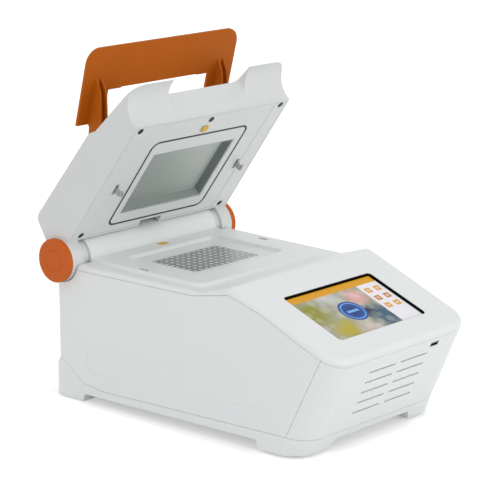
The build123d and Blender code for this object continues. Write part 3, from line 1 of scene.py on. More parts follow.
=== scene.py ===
# %% [markdown]
# A thermal cycler stands open on a bench: a white moulded housing, a hinged lid that holds a
# heated plate, an orange latch handle, and a touch screen on the sloping front. The engineering
# model arrives as a fixed frame of named nodes. This lesson gives each node its finish, softens
# the moulded edges, and adds what a CAD model leaves out, such as the picture on the screen.

# %% Load the fixed frame and note its box
import json
import math

import bmesh
import bpy
import numpy as np
from mathutils import Matrix, Vector

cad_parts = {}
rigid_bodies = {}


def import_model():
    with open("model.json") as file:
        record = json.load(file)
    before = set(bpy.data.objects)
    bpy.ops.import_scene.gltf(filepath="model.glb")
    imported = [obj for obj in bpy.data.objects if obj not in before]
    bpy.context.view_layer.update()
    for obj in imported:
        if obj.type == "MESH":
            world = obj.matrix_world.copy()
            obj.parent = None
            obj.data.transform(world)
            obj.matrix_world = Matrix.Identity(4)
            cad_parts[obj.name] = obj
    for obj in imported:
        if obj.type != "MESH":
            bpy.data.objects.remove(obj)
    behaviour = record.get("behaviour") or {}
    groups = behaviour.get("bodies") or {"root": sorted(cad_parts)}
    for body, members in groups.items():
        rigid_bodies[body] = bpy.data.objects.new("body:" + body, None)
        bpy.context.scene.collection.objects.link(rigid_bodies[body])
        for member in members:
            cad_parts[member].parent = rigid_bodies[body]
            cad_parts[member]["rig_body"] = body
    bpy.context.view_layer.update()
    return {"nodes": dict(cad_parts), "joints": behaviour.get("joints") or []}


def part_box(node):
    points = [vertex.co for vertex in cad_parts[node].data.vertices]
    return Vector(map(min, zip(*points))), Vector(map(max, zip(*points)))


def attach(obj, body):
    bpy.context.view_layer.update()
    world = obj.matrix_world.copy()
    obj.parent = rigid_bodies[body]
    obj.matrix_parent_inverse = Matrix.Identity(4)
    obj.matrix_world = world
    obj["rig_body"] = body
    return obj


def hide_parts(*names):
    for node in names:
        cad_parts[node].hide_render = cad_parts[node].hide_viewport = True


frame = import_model()
nodes = frame["nodes"]
MM = 0.001

# %% [markdown]
# The camera comes first, because every comparison depends on it. A pinhole camera needs a
# direction, a distance, a focal length and the point that falls in the middle of the picture.
# Here they come from matching known lengths, such as the 9 mm pitch of the wells, so the
# view is a long lens from the front left and a little above.

# %% Camera
IMAGE_HEIGHT = 493
FOCAL_PIXELS = 2080.77
SENSOR = 36.0
VIEW_AZIMUTH = math.radians(-47.5)
VIEW_ELEVATION = math.radians(13.747)
VIEW_ROLL = math.radians(-0.15)
VIEW_DISTANCE = 2.43263
VIEW_OFFSET = (0.05174, 0.07088)
VIEW_TARGET = Vector((0.0, 0.0833115, 0.1))


def camera_matrix():
    """Columns right, up and back of the camera, turned by the roll about the view line, and its place."""
    back = Vector((math.sin(VIEW_AZIMUTH) * math.cos(VIEW_ELEVATION),
                   -math.cos(VIEW_AZIMUTH) * math.cos(VIEW_ELEVATION), math.sin(VIEW_ELEVATION)))
    flat_right = (-back).cross(Vector((0, 0, 1))).normalized()
    flat_up = flat_right.cross(-back)
    right = flat_right * math.cos(VIEW_ROLL) + flat_up * math.sin(VIEW_ROLL)
    up = flat_up * math.cos(VIEW_ROLL) - flat_right * math.sin(VIEW_ROLL)
    place = VIEW_TARGET + back * VIEW_DISTANCE + right * VIEW_OFFSET[0] + up * VIEW_OFFSET[1]
    matrix = Matrix((right, up, back)).transposed().to_4x4()
    matrix.translation = place
    return matrix


lens_data = bpy.data.cameras.new("camera")
lens_data.sensor_width = SENSOR
lens_data.lens = FOCAL_PIXELS * SENSOR / IMAGE_HEIGHT
lens_data.clip_end = 20.0
camera = bpy.data.objects.new("camera", lens_data)
bpy.context.scene.collection.objects.link(camera)
camera.matrix_world = camera_matrix()
bpy.context.scene.camera = camera
print("lens", round(lens_data.lens, 1), "mm")

# %% [markdown]
# A finish is a small network of shader nodes. Colours are easier to judge as screen values from
# 0 to 255, but a shader works with light, so each colour is first turned into linear values.

# %% Colour helper
def colour(red, green, blue):
    """Screen values turned into linear light: the sRGB curve, a power of 2.4 above its short straight toe."""
    screen = np.array((red, green, blue)) / 255.0
    linear = np.where(screen <= 0.04045, screen / 12.92, ((screen + 0.055) / 1.055) ** 2.4)
    return (*linear.tolist(), 1.0)


WHITE = colour(234, 237, 237)
# The lid and its liner are the housing's white plastic painted darker: painted shade, since they lie in more shade
# than the housing.
LID_WHITE_PAINTED_SHADE = colour(219, 222, 221)
LINER_WHITE_PAINTED_SHADE = colour(222, 225, 224)
ORANGE = colour(189, 96, 8)
CAP_ORANGE = colour(203, 94, 16)
print("white plastic", [round(value, 3) for value in WHITE[:3]])

# %% [markdown]
# Moulded plastic is never a single flat colour. Light falls into it a little, the polish of the
# tool leaves a very fine grain, and handling leaves duller and shinier patches. One node group
# makes these three effects from noise in object coordinates, and every plastic then uses it
# with its own numbers. A group keeps the effect in one place, as a function does in code.

# %% Node group helper
def new_group(name, sockets_in, sockets_out):
    """An empty shader node group with named sockets, and its input and output nodes."""
    tree = bpy.data.node_groups.new(name, "ShaderNodeTree")
    for label, kind, value in sockets_in:
        socket = tree.interface.new_socket(name=label, in_out="INPUT", socket_type=kind)
        socket.default_value = value
    for label, kind in sockets_out:
        tree.interface.new_socket(name=label, in_out="OUTPUT", socket_type=kind)
    return tree, tree.nodes.new("NodeGroupInput"), tree.nodes.new("NodeGroupOutput")


def add_node(tree, kind, inputs=None, **settings):
    """A node with its settings, whose inputs are set to values or linked to sockets."""
    made = tree.nodes.new(kind)
    for key, value in settings.items():
        setattr(made, key, value)
    for key, value in (inputs or {}).items():
        if isinstance(value, bpy.types.NodeSocket):
            tree.links.new(value, made.inputs[key])
        else:
            made.inputs[key].default_value = value
    return made


def math_node(tree, operation, first, second=0.0, third=0.0):
    """Result socket of one arithmetic step."""
    made = add_node(tree, "ShaderNodeMath", {0: first, 1: second, 2: third}, operation=operation)
    return made.outputs[0]


def laid_over(tree, below, mask, above):
    """One flat colour or socket painted over another where the mask is 1."""
    mixed = add_node(tree, "ShaderNodeMix", data_type="RGBA")
    for key, value in (("Factor_Float", mask), ("A_Color", below), ("B_Color", above)):
        socket = next(one for one in mixed.inputs if one.identifier == key)
        if isinstance(value, bpy.types.NodeSocket):
            tree.links.new(value, socket)
        else:
            socket.default_value = value
    return next(one for one in mixed.outputs if one.identifier == "Result_Color")


SURFACE_OUTPUTS = (("Colour", "NodeSocketColor"), ("Roughness", "NodeSocketFloat"), ("Height", "NodeSocketFloat"))


def moulded_group():
    """Fine tool grain for the height, broad soft noise for the tone and broken noise for the gloss."""
    tree, given, result = new_group("moulded_skin", (
        ("Colour", "NodeSocketColor", (0.8, 0.8, 0.8, 1.0)), ("Roughness", "NodeSocketFloat", 0.4),
        ("Grain scale", "NodeSocketFloat", 2400.0), ("Tone change", "NodeSocketFloat", 0.03),
        ("Gloss change", "NodeSocketFloat", 0.06)), SURFACE_OUTPUTS)
    place = add_node(tree, "ShaderNodeTexCoord").outputs["Object"]
    grain = add_node(tree, "ShaderNodeTexNoise",
                     {"Vector": place, "Scale": given.outputs["Grain scale"], "Detail": 3.0})
    broad = add_node(tree, "ShaderNodeTexNoise", {"Vector": place, "Scale": 9.0, "Detail": 2.0})
    patches = add_node(tree, "ShaderNodeTexNoise", {"Vector": place, "Scale": 38.0, "Detail": 5.0})
    tone = math_node(tree, "SUBTRACT", broad.outputs["Fac"], 0.5)
    tone = math_node(tree, "MULTIPLY_ADD", tone, given.outputs["Tone change"], 1.0)
    tinted = add_node(tree, "ShaderNodeVectorMath",
                      {0: given.outputs["Colour"], "Scale": tone}, operation="SCALE")
    gloss = math_node(tree, "SUBTRACT", patches.outputs["Fac"], 0.5)
    gloss = math_node(tree, "MULTIPLY_ADD", gloss, given.outputs["Gloss change"],
                      given.outputs["Roughness"])
    tree.links.new(tinted.outputs[0], result.inputs["Colour"])
    tree.links.new(gloss, result.inputs["Roughness"])
    tree.links.new(grain.outputs["Fac"], result.inputs["Height"])
    return tree


MOULDED = moulded_group()
print("group", MOULDED.name, "has", len(MOULDED.nodes), "nodes")

# %% [markdown]
# Metal parts show how they were made. Bead-blasted and anodised aluminium is even and cloudy,
# while rolled or turned steel carries fine parallel lines. Stretching a noise along one axis
# turns its blobs into such lines, so one group serves both: its stretch is 1 for a blasted part.

# %% Metal group
def metal_group():
    """Noise squeezed across the lines by the stretch, used for tone, gloss and height together."""
    tree, given, result = new_group("worked_metal", (
        ("Colour", "NodeSocketColor", (0.6, 0.6, 0.6, 1.0)), ("Roughness", "NodeSocketFloat", 0.35),
        ("Line scale", "NodeSocketFloat", 900.0), ("Stretch", "NodeSocketFloat", 12.0),
        ("Tone change", "NodeSocketFloat", 0.12), ("Gloss change", "NodeSocketFloat", 0.15)),
        SURFACE_OUTPUTS)
    place = add_node(tree, "ShaderNodeTexCoord").outputs["Object"]
    across = add_node(tree, "ShaderNodeCombineXYZ",
                      {"X": 1.0, "Y": given.outputs["Stretch"], "Z": given.outputs["Stretch"]})
    drawn = add_node(tree, "ShaderNodeVectorMath", {0: place, 1: across.outputs[0]}, operation="MULTIPLY")
    lines = add_node(tree, "ShaderNodeTexNoise",
                     {"Vector": drawn.outputs[0], "Scale": given.outputs["Line scale"], "Detail": 4.0})
    clouds = add_node(tree, "ShaderNodeTexNoise", {"Vector": place, "Scale": 60.0, "Detail": 4.0})
    mixed = math_node(tree, "ADD", lines.outputs["Fac"], clouds.outputs["Fac"])
    centred = math_node(tree, "SUBTRACT", mixed, 1.0)
    tone = math_node(tree, "MULTIPLY_ADD", centred, given.outputs["Tone change"], 1.0)
    tinted = add_node(tree, "ShaderNodeVectorMath",
                      {0: given.outputs["Colour"], "Scale": tone}, operation="SCALE")
    gloss = math_node(tree, "MULTIPLY_ADD", centred, given.outputs["Gloss change"],
                      given.outputs["Roughness"])
    tree.links.new(tinted.outputs[0], result.inputs["Colour"])
    tree.links.new(gloss, result.inputs["Roughness"])
    tree.links.new(lines.outputs["Fac"], result.inputs["Height"])
    return tree


METAL = metal_group()
print("group", METAL.name, "has", len(METAL.nodes), "nodes")

# %% [markdown]
# Felt, foam and the board's green lacquer need a third kind of surface: a cell pattern with
# fibres or blotches. A Voronoi texture gives the cells, and noise breaks up their edges.

# %% Fibre group
def fibre_group():
    """Cells from a Voronoi texture, warped by noise, as pores or fibre ends in the tone and height."""
    tree, given, result = new_group("fibre_and_pores", (
        ("Colour", "NodeSocketColor", (0.7, 0.7, 0.65, 1.0)), ("Roughness", "NodeSocketFloat", 0.9),
        ("Pore scale", "NodeSocketFloat", 900.0), ("Tone change", "NodeSocketFloat", 0.35)),
        SURFACE_OUTPUTS)
    place = add_node(tree, "ShaderNodeTexCoord").outputs["Object"]
    cells = add_node(tree, "ShaderNodeTexVoronoi", {"Vector": place, "Scale": given.outputs["Pore scale"]})
    noise = add_node(tree, "ShaderNodeTexNoise",
                     {"Vector": place, "Scale": given.outputs["Pore scale"], "Detail": 4.0})
    height = math_node(tree, "MULTIPLY", cells.outputs["Distance"], noise.outputs["Fac"])
    tone = math_node(tree, "MULTIPLY_ADD", height, given.outputs["Tone change"], 0.9)
    tinted = add_node(tree, "ShaderNodeVectorMath",
                      {0: given.outputs["Colour"], "Scale": tone}, operation="SCALE")
    gloss = math_node(tree, "SUBTRACT", given.outputs["Roughness"], math_node(tree, "MULTIPLY", height, 0.1))
    tree.links.new(tinted.outputs[0], result.inputs["Colour"])
    tree.links.new(gloss, result.inputs["Roughness"])
    tree.links.new(height, result.inputs["Height"])
    return tree


FIBRE = fibre_group()
print("group", FIBRE.name, "has", len(FIBRE.nodes), "nodes")

# %% [markdown]
# Each finish is now one call: it places a group, gives it this material's numbers, and leads its
# three outputs to a Principled shader. Values that are the same all over stay on the shader.

# %% Finish helper
def finish(name, group, values, bump=0.02, **plain):
    """A material whose group feeds colour, roughness and, through a Bump node, the normal."""
    made = bpy.data.materials.new(name)
    made.use_nodes = True
    tree = made.node_tree
    shader = tree.nodes["Principled BSDF"]
    placed = add_node(tree, "ShaderNodeGroup", node_tree=group)
    for label, value in values.items():
        placed.inputs[label].default_value = value
    bumped = add_node(tree, "ShaderNodeBump",
                      {"Strength": bump, "Distance": 0.0002, "Height": placed.outputs["Height"]})
    tree.links.new(placed.outputs["Colour"], shader.inputs["Base Color"])
    tree.links.new(placed.outputs["Roughness"], shader.inputs["Roughness"])
    tree.links.new(bumped.outputs[0], shader.inputs["Normal"])
    for label, value in plain.items():
        shader.inputs[label.replace("_", " ")].default_value = value
    return made


def plastic(name, tint, roughness=0.36, grain=2400.0, bump=0.05, **plain):
    """A moulded plastic."""
    return finish(name, MOULDED, {"Colour": tint, "Roughness": roughness, "Grain scale": grain},
                  bump, **plain)


def metal(name, tint, roughness=0.32, stretch=12.0, bump=0.05, **plain):
    """A bare metal with lines along X, or none where the stretch is 1."""
    values = {"Colour": tint, "Roughness": roughness, "Stretch": stretch}
    return finish(name, METAL, values, bump, Metallic=1.0, **plain)


def fibre(name, tint, roughness=0.9, pores=900.0, bump=0.6, **plain):
    """Felt, foam, ceramic or lacquered board."""
    return finish(name, FIBRE, {"Colour": tint, "Roughness": roughness, "Pore scale": pores}, bump, **plain)


housing_white = plastic("housing_white", WHITE, 0.34)
lid_white_painted_shade = plastic("lid_white_painted_shade", LID_WHITE_PAINTED_SHADE, 0.38)
liner_white_painted_shade = plastic("liner_white_painted_shade", LINER_WHITE_PAINTED_SHADE, 0.42)
handle_orange = plastic("handle_orange", ORANGE, 0.55, 1800.0, 0.08, Specular_IOR_Level=0.18)
cap_orange = plastic("cap_orange", CAP_ORANGE, 0.5, 1800.0, 0.08, Specular_IOR_Level=0.25)
black_plastic = plastic("black_plastic", colour(30, 31, 32), 0.45, 1600.0, 0.1)
black_rubber = plastic("black_rubber", colour(24, 24, 25), 0.7, 1200.0, 0.3)
seal_rubber = plastic("seal_rubber", colour(46, 52, 54), 0.6, 1400.0, 0.2)
screen_glass = plastic("screen_glass", colour(6, 6, 7), 0.3, 3000.0, 0.0, Specular_IOR_Level=0.06)
bright_steel = metal("bright_steel", colour(190, 188, 184), 0.28)
black_steel = metal("black_steel", colour(52, 55, 58), 0.4, 1.0)
plate_aluminium = metal("plate_aluminium", colour(186, 191, 187), 0.55, 1.0)
block_aluminium = metal("block_aluminium", colour(205, 210, 208), 0.3, 1.0)
bearing_bronze = metal("bearing_bronze", colour(176, 140, 92), 0.45, 1.0)
insulation = fibre("insulation", colour(224, 221, 208))
ceramic = fibre("ceramic", colour(236, 236, 230), 0.6, 2600.0, 0.1)
board_green = fibre("board_green", colour(34, 88, 54), 0.4, 420.0, 0.3)
silicone_red = plastic("silicone_red", colour(150, 62, 40), 0.6, 900.0, 0.3)
print(len(bpy.data.materials), "finishes")

# %% [markdown]
# The block's top face is skimmed and matt, while its wells carry painted glints: they are painted
# near white and made almost not metallic, for the light that polished wells would reflect. Both are
# one node, so the height above the bench decides which finish shows: below the top face lie only the wells.

# %% Painted glints in the block's wells, painted shade on the pan's walls
BLOCK_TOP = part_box("sample_block")[1].z
WELL_RIM = 0.35 * MM


def block_with_painted_glints(name, matt_tone_and_painted_shade, painted_glint):
    """A copy of the block's finish whose colour and metal change just below the top face, to the painted glint."""
    made = block_aluminium.copy()
    made.name = name
    tree = made.node_tree
    shader = tree.nodes["Principled BSDF"]
    place = add_node(tree, "ShaderNodeTexCoord").outputs["Object"]
    height = add_node(tree, "ShaderNodeSeparateXYZ", {0: place}).outputs["Z"]
    inside = math_node(tree, "LESS_THAN", height, BLOCK_TOP - WELL_RIM)
    placed = next(node for node in tree.nodes if node.type == "GROUP")
    for link in list(placed.inputs["Colour"].links):
        tree.links.remove(link)
    tree.links.new(laid_over(tree, matt_tone_and_painted_shade, inside, painted_glint), placed.inputs["Colour"])
    tree.links.new(math_node(tree, "MULTIPLY_ADD", inside, PAINTED_GLINT_METAL - 1.0, 1.0), shader.inputs["Metallic"])
    return made


def pan_with_painted_shade(matt_tone_and_painted_shade):
    """The heated plate's finish with painted shade: darker where the surface turns away from the pan's floor, for
    the dark reflection on its walls.
    """
    made = plate_aluminium.copy()
    made.name = "plate_pan_painted_shade"
    tree = made.node_tree
    normal = add_node(tree, "ShaderNodeTexCoord").outputs["Normal"]
    facing = add_node(tree, "ShaderNodeVectorMath", {0: normal, 1: PAN_NORMAL}, operation="DOT_PRODUCT").outputs["Value"]
    flat = add_node(tree, "ShaderNodeMapRange", {"Value": facing, "From Min": PAN_STEEP, "From Max": 0.99}).outputs["Result"]
    placed = next(node for node in tree.nodes if node.type == "GROUP")
    clear = tuple(placed.inputs["Colour"].default_value)
    tree.links.new(laid_over(tree, matt_tone_and_painted_shade, flat, clear), placed.inputs["Colour"])
    return made


OPEN_ANGLE = math.radians(next(j["range_deg"][1] for j in frame["joints"] if j["name"] == "lid_hinge"))
PAN_NORMAL = (0, -math.sin(OPEN_ANGLE), -math.cos(OPEN_ANGLE))
PAN_STEEP = 0.7
# The darker colour here is painted shade on the pan's walls.
pan_aluminium_painted_shade = pan_with_painted_shade(colour(126, 133, 129))
# The wells' near-white colour and low metal value are painted glints.
PAINTED_GLINT_METAL = 0.05
wells_painted_glints = block_with_painted_glints("block_with_painted_glints", colour(156, 163, 160), colour(250, 251, 250))

# %% [markdown]
# Every node of the frame gets one of these finishes. A table of finish to node names reads
# like a parts list, and a check at the end makes sure that no node was forgotten.

# %% Finish of every node
FINISHES = {
    housing_white: ("base_tray", "right_side_panel", "left_side_panel", "rear_panel", "front_panel",
                    "top_cover", "hinge_barrel"),
    lid_white_painted_shade: ("lid_shell",),
    liner_white_painted_shade: ("lid_panel", "plate_frame"),
    handle_orange: ("handle",),
    cap_orange: ("right_hinge_cap", "left_hinge_cap"),
    black_rubber: ("rubber_feet",),
    seal_rubber: ("lid_gasket",),
    black_plastic: ("display_module", "power_inlet", "power_rocker", "left_fan_frame",
                    "right_fan_frame", "left_fan_rotor", "right_fan_rotor"),
    screen_glass: ("touch_glass",),
    bright_steel: ("usb_port", "air_duct", "chassis_plate", "power_supply", "hinge_shafts",
                   "latch_catches", "leaf_springs", "handle_shaft", "crank_pins", "hook_brackets",
                   "hook_pins", "right_hook", "left_hook"),
    black_steel: ("lid_screws",),
    pan_aluminium_painted_shade: ("heated_plate",),
    wells_painted_glints: ("sample_block",),
    block_aluminium: ("heat_sink", "hinge_blocks"),
    bearing_bronze: ("hinge_bushes",),
    insulation: ("block_collar", "heater_felt"),
    ceramic: ("heat_pumps",),
    board_green: ("control_board",),
    silicone_red: ("heater_mat",),
}
finish_of = {name: made for made, names in FINISHES.items() for name in names}
for name, made in finish_of.items():
    nodes[name].data.materials.clear()
    nodes[name].data.materials.append(made)
print("nodes without a finish:", sorted(set(nodes) - set(finish_of)))

# %% [markdown]
# An injection moulding has no knife edges: its corners are rounded by half a millimetre or
# more, and each one catches a thin line of light. The frame's meshes are loose triangles with
# sharp corners, so a copy is merged, its flat triangles are joined into whole faces, and a
# Bevel modifier rounds every edge that turns by more than a set angle.

# %% Soften the moulded edges
MERGE = 0.002 * MM
FLAT_ANGLE = math.radians(0.4)
EDGE_ANGLE = math.radians(38)


def new_object(name, mesh, body, made):
    """A piece with its finish that rides on a body."""
    piece = bpy.data.objects.new(name, mesh)
    bpy.context.scene.collection.objects.link(piece)
    if made is not None:
        mesh.materials.clear()
        mesh.materials.append(made)
    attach(piece, body)
    return piece


def bevelled(piece, width, segments=3):
    """Round the edges of a piece that turn by more than the edge angle, then shade it smoothly."""
    rounding = piece.modifiers.new("rounded_edges", "BEVEL")
    rounding.width = width
    rounding.segments = segments
    rounding.limit_method = "ANGLE"
    rounding.angle_limit = EDGE_ANGLE
    rounding.miter_outer = "MITER_SHARP"
    piece.data.shade_smooth()
    weighted = piece.modifiers.new("even_shading", "WEIGHTED_NORMAL")
    weighted.keep_sharp = True
    return piece


def softened(name, width, segments=3):
    """A merged copy of a node with rounded edges, which stands for that node."""
    mesh = nodes[name].data.copy()
    work = bmesh.new()
    work.from_mesh(mesh)
    bmesh.ops.remove_doubles(work, verts=work.verts, dist=MERGE)
    bmesh.ops.dissolve_limit(work, angle_limit=FLAT_ANGLE, verts=work.verts, edges=work.edges)
    work.to_mesh(mesh)
    work.free()
    piece = new_object(name + "_finished", mesh, nodes[name]["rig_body"], None)
    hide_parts(name)
    return bevelled(piece, width, segments)


ROUNDED = {
    "lid_shell": 1.0, "lid_panel": 0.8, "plate_frame": 0.6, "heated_plate": 0.5, "handle": 0.8,
    "top_cover": 0.7, "front_panel": 0.4, "base_tray": 0.7, "right_side_panel": 0.4,
    "left_side_panel": 0.4, "rear_panel": 0.4, "hinge_barrel": 0.4, "right_hinge_cap": 0.5,
    "left_hinge_cap": 0.5, "rubber_feet": 0.8, "power_inlet": 0.5, "power_rocker": 0.4,
    "right_hook": 0.2, "left_hook": 0.2, "sample_block": 0.25,
}
for name, width in ROUNDED.items():
    softened(name, width * MM)
print(len(ROUNDED), "nodes with rounded edges")

# %% [markdown]
# The display shows a plain working screen: a bar across the top, a pale column of round buttons
# and one large round button over a soft blotchy background. It could be a stack of thin shapes,
# but one surface with its own UV map is simpler, because every shape is then a short formula.
# The surface lies just above the glass, so the real glass and its dark edge stay around it.

# %% Surface helpers
def grid_mesh(name, points, uv=None, closed_u=False):
    """A mesh of quads over an array of points with rows along v and columns along u.
    Quad (i, j) joins points (i, j), (i, j+1), (i+1, j+1), (i+1, j), wrapping in u where it is closed."""
    rows, columns = points.shape[:2]
    i, j = np.meshgrid(np.arange(rows - 1), np.arange(columns if closed_u else columns - 1), indexing="ij")
    corners = ((i, j), (i, j + 1), (i + 1, j + 1), (i + 1, j))
    faces = np.stack([a * columns + b % columns for a, b in corners], axis=-1).reshape(-1, 4)
    mesh = bpy.data.meshes.new(name)
    mesh.from_pydata(points.reshape(-1, 3), [], faces)
    if uv is not None:
        loops = np.empty(len(mesh.loops), int)
        mesh.loops.foreach_get("vertex_index", loops)
        layer = mesh.uv_layers.new(name="place")
        layer.data.foreach_set("uv", uv.reshape(-1, 2)[loops].ravel())
    mesh.shade_smooth()
    return mesh


def rounded_ring(half_x, half_y, radius, offset, per_corner=9):
    """Outline of a rounded rectangle pushed out by an offset: corner centres plus (radius + offset) times
    the direction that turns from 0 to 360 degrees."""
    turn = np.linspace(0, np.pi / 2, per_corner) + np.arange(4)[:, None] * np.pi / 2
    quarter = turn[:, per_corner // 2][:, None]
    centre_x = np.sign(np.cos(quarter)) * (half_x - radius)
    centre_y = np.sign(np.sin(quarter)) * (half_y - radius)
    reach = radius + offset
    return (centre_x + reach * np.cos(turn)).ravel(), (centre_y + reach * np.sin(turn)).ravel()


BEZEL_ANGLE = math.radians(21.14)
GLASS_THICKNESS = 2.0 * MM
GLASS_UP = np.array((0, -math.sin(BEZEL_ANGLE), math.cos(BEZEL_ANGLE)))
DOWNHILL = np.array((0, -math.cos(BEZEL_ANGLE), -math.sin(BEZEL_ANGLE)))
glass_low, glass_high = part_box("touch_glass")
glass_top = np.array((0, glass_high.y - GLASS_THICKNESS * math.sin(BEZEL_ANGLE), glass_high.z))
print("upper edge of the glass", glass_top.round(4))

# %% Screen layout, in millimetres from the picture's upper left corner
WINDOW_HALF = 73.8
WINDOW_LENGTH = 88.4
WINDOW_RADIUS = 5.0
WINDOW_MARGIN = 5.0
WINDOW_DEPTH = 3.0
LINER_GAP = 0.12
LINER_THICKNESS = 0.6
PICTURE_LEFT = -73.0
PICTURE_TOP = 7.2
PICTURE_WIDTH = 144.4
PICTURE_HEIGHT = 85.4
PICTURE_LIFT = 0.08 * MM
BAR_HEIGHT = 10.6
COLUMN_LEFT = 110.0
TILE_HALF = 4.6
TILE_COLUMNS = (119.0, 134.5)
TILE_ROWS = (22.5, 38.0, 53.5)
GAUGE_CENTRE = (66.0, 46.0)
GAUGE_RADIUS = 18.0
GAUGE_BAR = (9.0, 2.2)
AMBER = colour(214, 152, 8)
AMBER_DEEP = colour(190, 118, 12)
COLUMN_WHITE = colour(228, 226, 232)
GAUGE_BLUE = colour(28, 76, 150)
GAUGE_PALE = colour(120, 168, 226)
GAUGE_DEEP = colour(18, 46, 100)
FIELD = colour(158, 158, 138)
SOFT_AREAS = ((12, 34, 30, colour(142, 140, 52)), (30, 74, 26, colour(176, 162, 58)),
              (56, 16, 22, colour(188, 190, 184)), (92, 26, 20, colour(214, 160, 158)),
              (62, 78, 22, colour(190, 176, 164)), (100, 66, 32, colour(62, 92, 112)),
              (84, 52, 13, colour(40, 48, 72)))


def box_mask(tree, x, y, x0, x1, y0, y1):
    """1 inside a box: the product of four steps."""
    mask = 1.0
    for edge, value, sign in ((x0, x, 1), (x1, x, -1), (y0, y, 1), (y1, y, -1)):
        inside = math_node(tree, "GREATER_THAN" if sign > 0 else "LESS_THAN", value, edge)
        mask = inside if mask == 1.0 else math_node(tree, "MULTIPLY", mask, inside)
    return mask


def disc_mask(tree, x, y, centre, radius, blur=0.35):
    """1 inside a disc with a soft rim: radius less distance, over the blur, clamped."""
    dx = math_node(tree, "SUBTRACT", x, centre[0])
    dy = math_node(tree, "SUBTRACT", y, centre[1])
    square = math_node(tree, "ADD", math_node(tree, "MULTIPLY", dx, dx), math_node(tree, "MULTIPLY", dy, dy))
    depth = math_node(tree, "SUBTRACT", radius, math_node(tree, "SQRT", square))
    soft = add_node(tree, "ShaderNodeMath", {0: depth, 1: 1.0 / blur}, operation="MULTIPLY", use_clamp=True)
    return soft.outputs[0]


def tile_mask(tree, x, y, centre, half_x, half_y, blur=0.4):
    """1 inside a rectangle with a soft rim: the smaller of both depths, over the blur, clamped."""
    depths = []
    for place, middle, half in ((x, centre[0], half_x), (y, centre[1], half_y)):
        away = math_node(tree, "ABSOLUTE", math_node(tree, "SUBTRACT", place, middle))
        depths.append(math_node(tree, "SUBTRACT", half, away))
    depth = math_node(tree, "MINIMUM", *depths)
    soft = add_node(tree, "ShaderNodeMath", {0: depth, 1: 1.0 / blur}, operation="MULTIPLY", use_clamp=True)
    return soft.outputs[0]


def soft_field(tree, place, x, y):
    """Out-of-focus background: large soft discs of colour, with faint paler cells over them."""
    bend = add_node(tree, "ShaderNodeTexNoise", {"Vector": place, "Scale": 0.06, "Detail": 2.0})
    sway = math_node(tree, "MULTIPLY_ADD", bend.outputs["Fac"], 24.0, -12.0)
    wavy_x = math_node(tree, "ADD", x, sway)
    wavy_y = math_node(tree, "SUBTRACT", y, sway)
    paint = FIELD
    for centre_x, centre_y, radius, tint in SOFT_AREAS:
        paint = laid_over(tree, paint, disc_mask(tree, wavy_x, wavy_y, (centre_x, centre_y), radius, radius * 0.7),
                          tint)
    cells = add_node(tree, "ShaderNodeTexVoronoi", {"Vector": place, "Scale": 0.07})
    pale = add_node(tree, "ShaderNodeMapRange", {"Value": cells.outputs["Distance"], "From Min": 0.3,
                                                "From Max": 0.5, "To Min": 0.2, "To Max": 0.0})
    return laid_over(tree, paint, pale.outputs["Result"], colour(228, 228, 216))


def picture_finish():
    """The lit picture: shapes painted one over the other from the UV place, seen through a glossy coat."""
    made = bpy.data.materials.new("screen_picture")
    made.use_nodes = True
    tree = made.node_tree
    shader = tree.nodes["Principled BSDF"]
    uv = add_node(tree, "ShaderNodeUVMap", uv_map="place")
    scaled = add_node(tree, "ShaderNodeMapping",
                      {"Vector": uv.outputs[0], "Scale": (PICTURE_WIDTH, PICTURE_HEIGHT, 1.0)})
    place = scaled.outputs[0]
    split = add_node(tree, "ShaderNodeSeparateXYZ", {0: place})
    x, y = split.outputs[0], split.outputs[1]
    paint = soft_field(tree, place, x, y)
    paint = laid_over(tree, paint, box_mask(tree, x, y, COLUMN_LEFT, PICTURE_WIDTH + 1.0, BAR_HEIGHT,
                                            PICTURE_HEIGHT + 1.0), COLUMN_WHITE)
    paint = laid_over(tree, paint, box_mask(tree, x, y, -1.0, PICTURE_WIDTH + 1.0, -1.0, BAR_HEIGHT), AMBER)
    for radius, tint in ((GAUGE_RADIUS, GAUGE_BLUE), (GAUGE_RADIUS - 2.6, GAUGE_PALE),
                         (GAUGE_RADIUS - 4.0, GAUGE_BLUE)):
        paint = laid_over(tree, paint, disc_mask(tree, x, y, GAUGE_CENTRE, radius), tint)
    paint = laid_over(tree, paint, disc_mask(tree, x, y, GAUGE_CENTRE, GAUGE_RADIUS - 5.0, 12.0), GAUGE_DEEP)
    paint = laid_over(tree, paint, tile_mask(tree, x, y, GAUGE_CENTRE, GAUGE_BAR[0], GAUGE_BAR[1]), GAUGE_PALE)
    for row in TILE_ROWS:
        for column in TILE_COLUMNS:
            tint = AMBER_DEEP if row == TILE_ROWS[1] else AMBER
            paint = laid_over(tree, paint, tile_mask(tree, x, y, (column, row), TILE_HALF, TILE_HALF), tint)
            inner = disc_mask(tree, x, y, (column, row), TILE_HALF - 2.2)
            paint = laid_over(tree, paint, math_node(tree, "MULTIPLY", inner, 0.6), COLUMN_WHITE)
    tree.links.new(paint, shader.inputs["Base Color"])
    tree.links.new(paint, shader.inputs["Emission Color"])
    shader.inputs["Emission Strength"].default_value = 0.15
    shader.inputs["Roughness"].default_value = 0.3
    shader.inputs["Specular IOR Level"].default_value = 0.1
    shader.inputs["Coat Weight"].default_value = 0.12
    shader.inputs["Coat Roughness"].default_value = 0.04
    return made


def screen_picture():
    """Flat grid on the glass: the corner, plus u along X, plus v downhill, lifted off the glass."""
    across, down = np.meshgrid(np.linspace(0, 1, 25), np.linspace(1, 0, 15))
    corner = glass_top + np.array((PICTURE_LEFT, 0, 0)) * MM + DOWNHILL * PICTURE_TOP * MM
    points = (corner + across[..., None] * np.array((PICTURE_WIDTH, 0, 0)) * MM
              + down[..., None] * DOWNHILL * PICTURE_HEIGHT * MM + GLASS_UP * PICTURE_LIFT)
    mesh = grid_mesh("screen_picture", points, np.stack((across, down), axis=-1))
    return new_object("screen_picture", mesh, "housing", picture_finish())


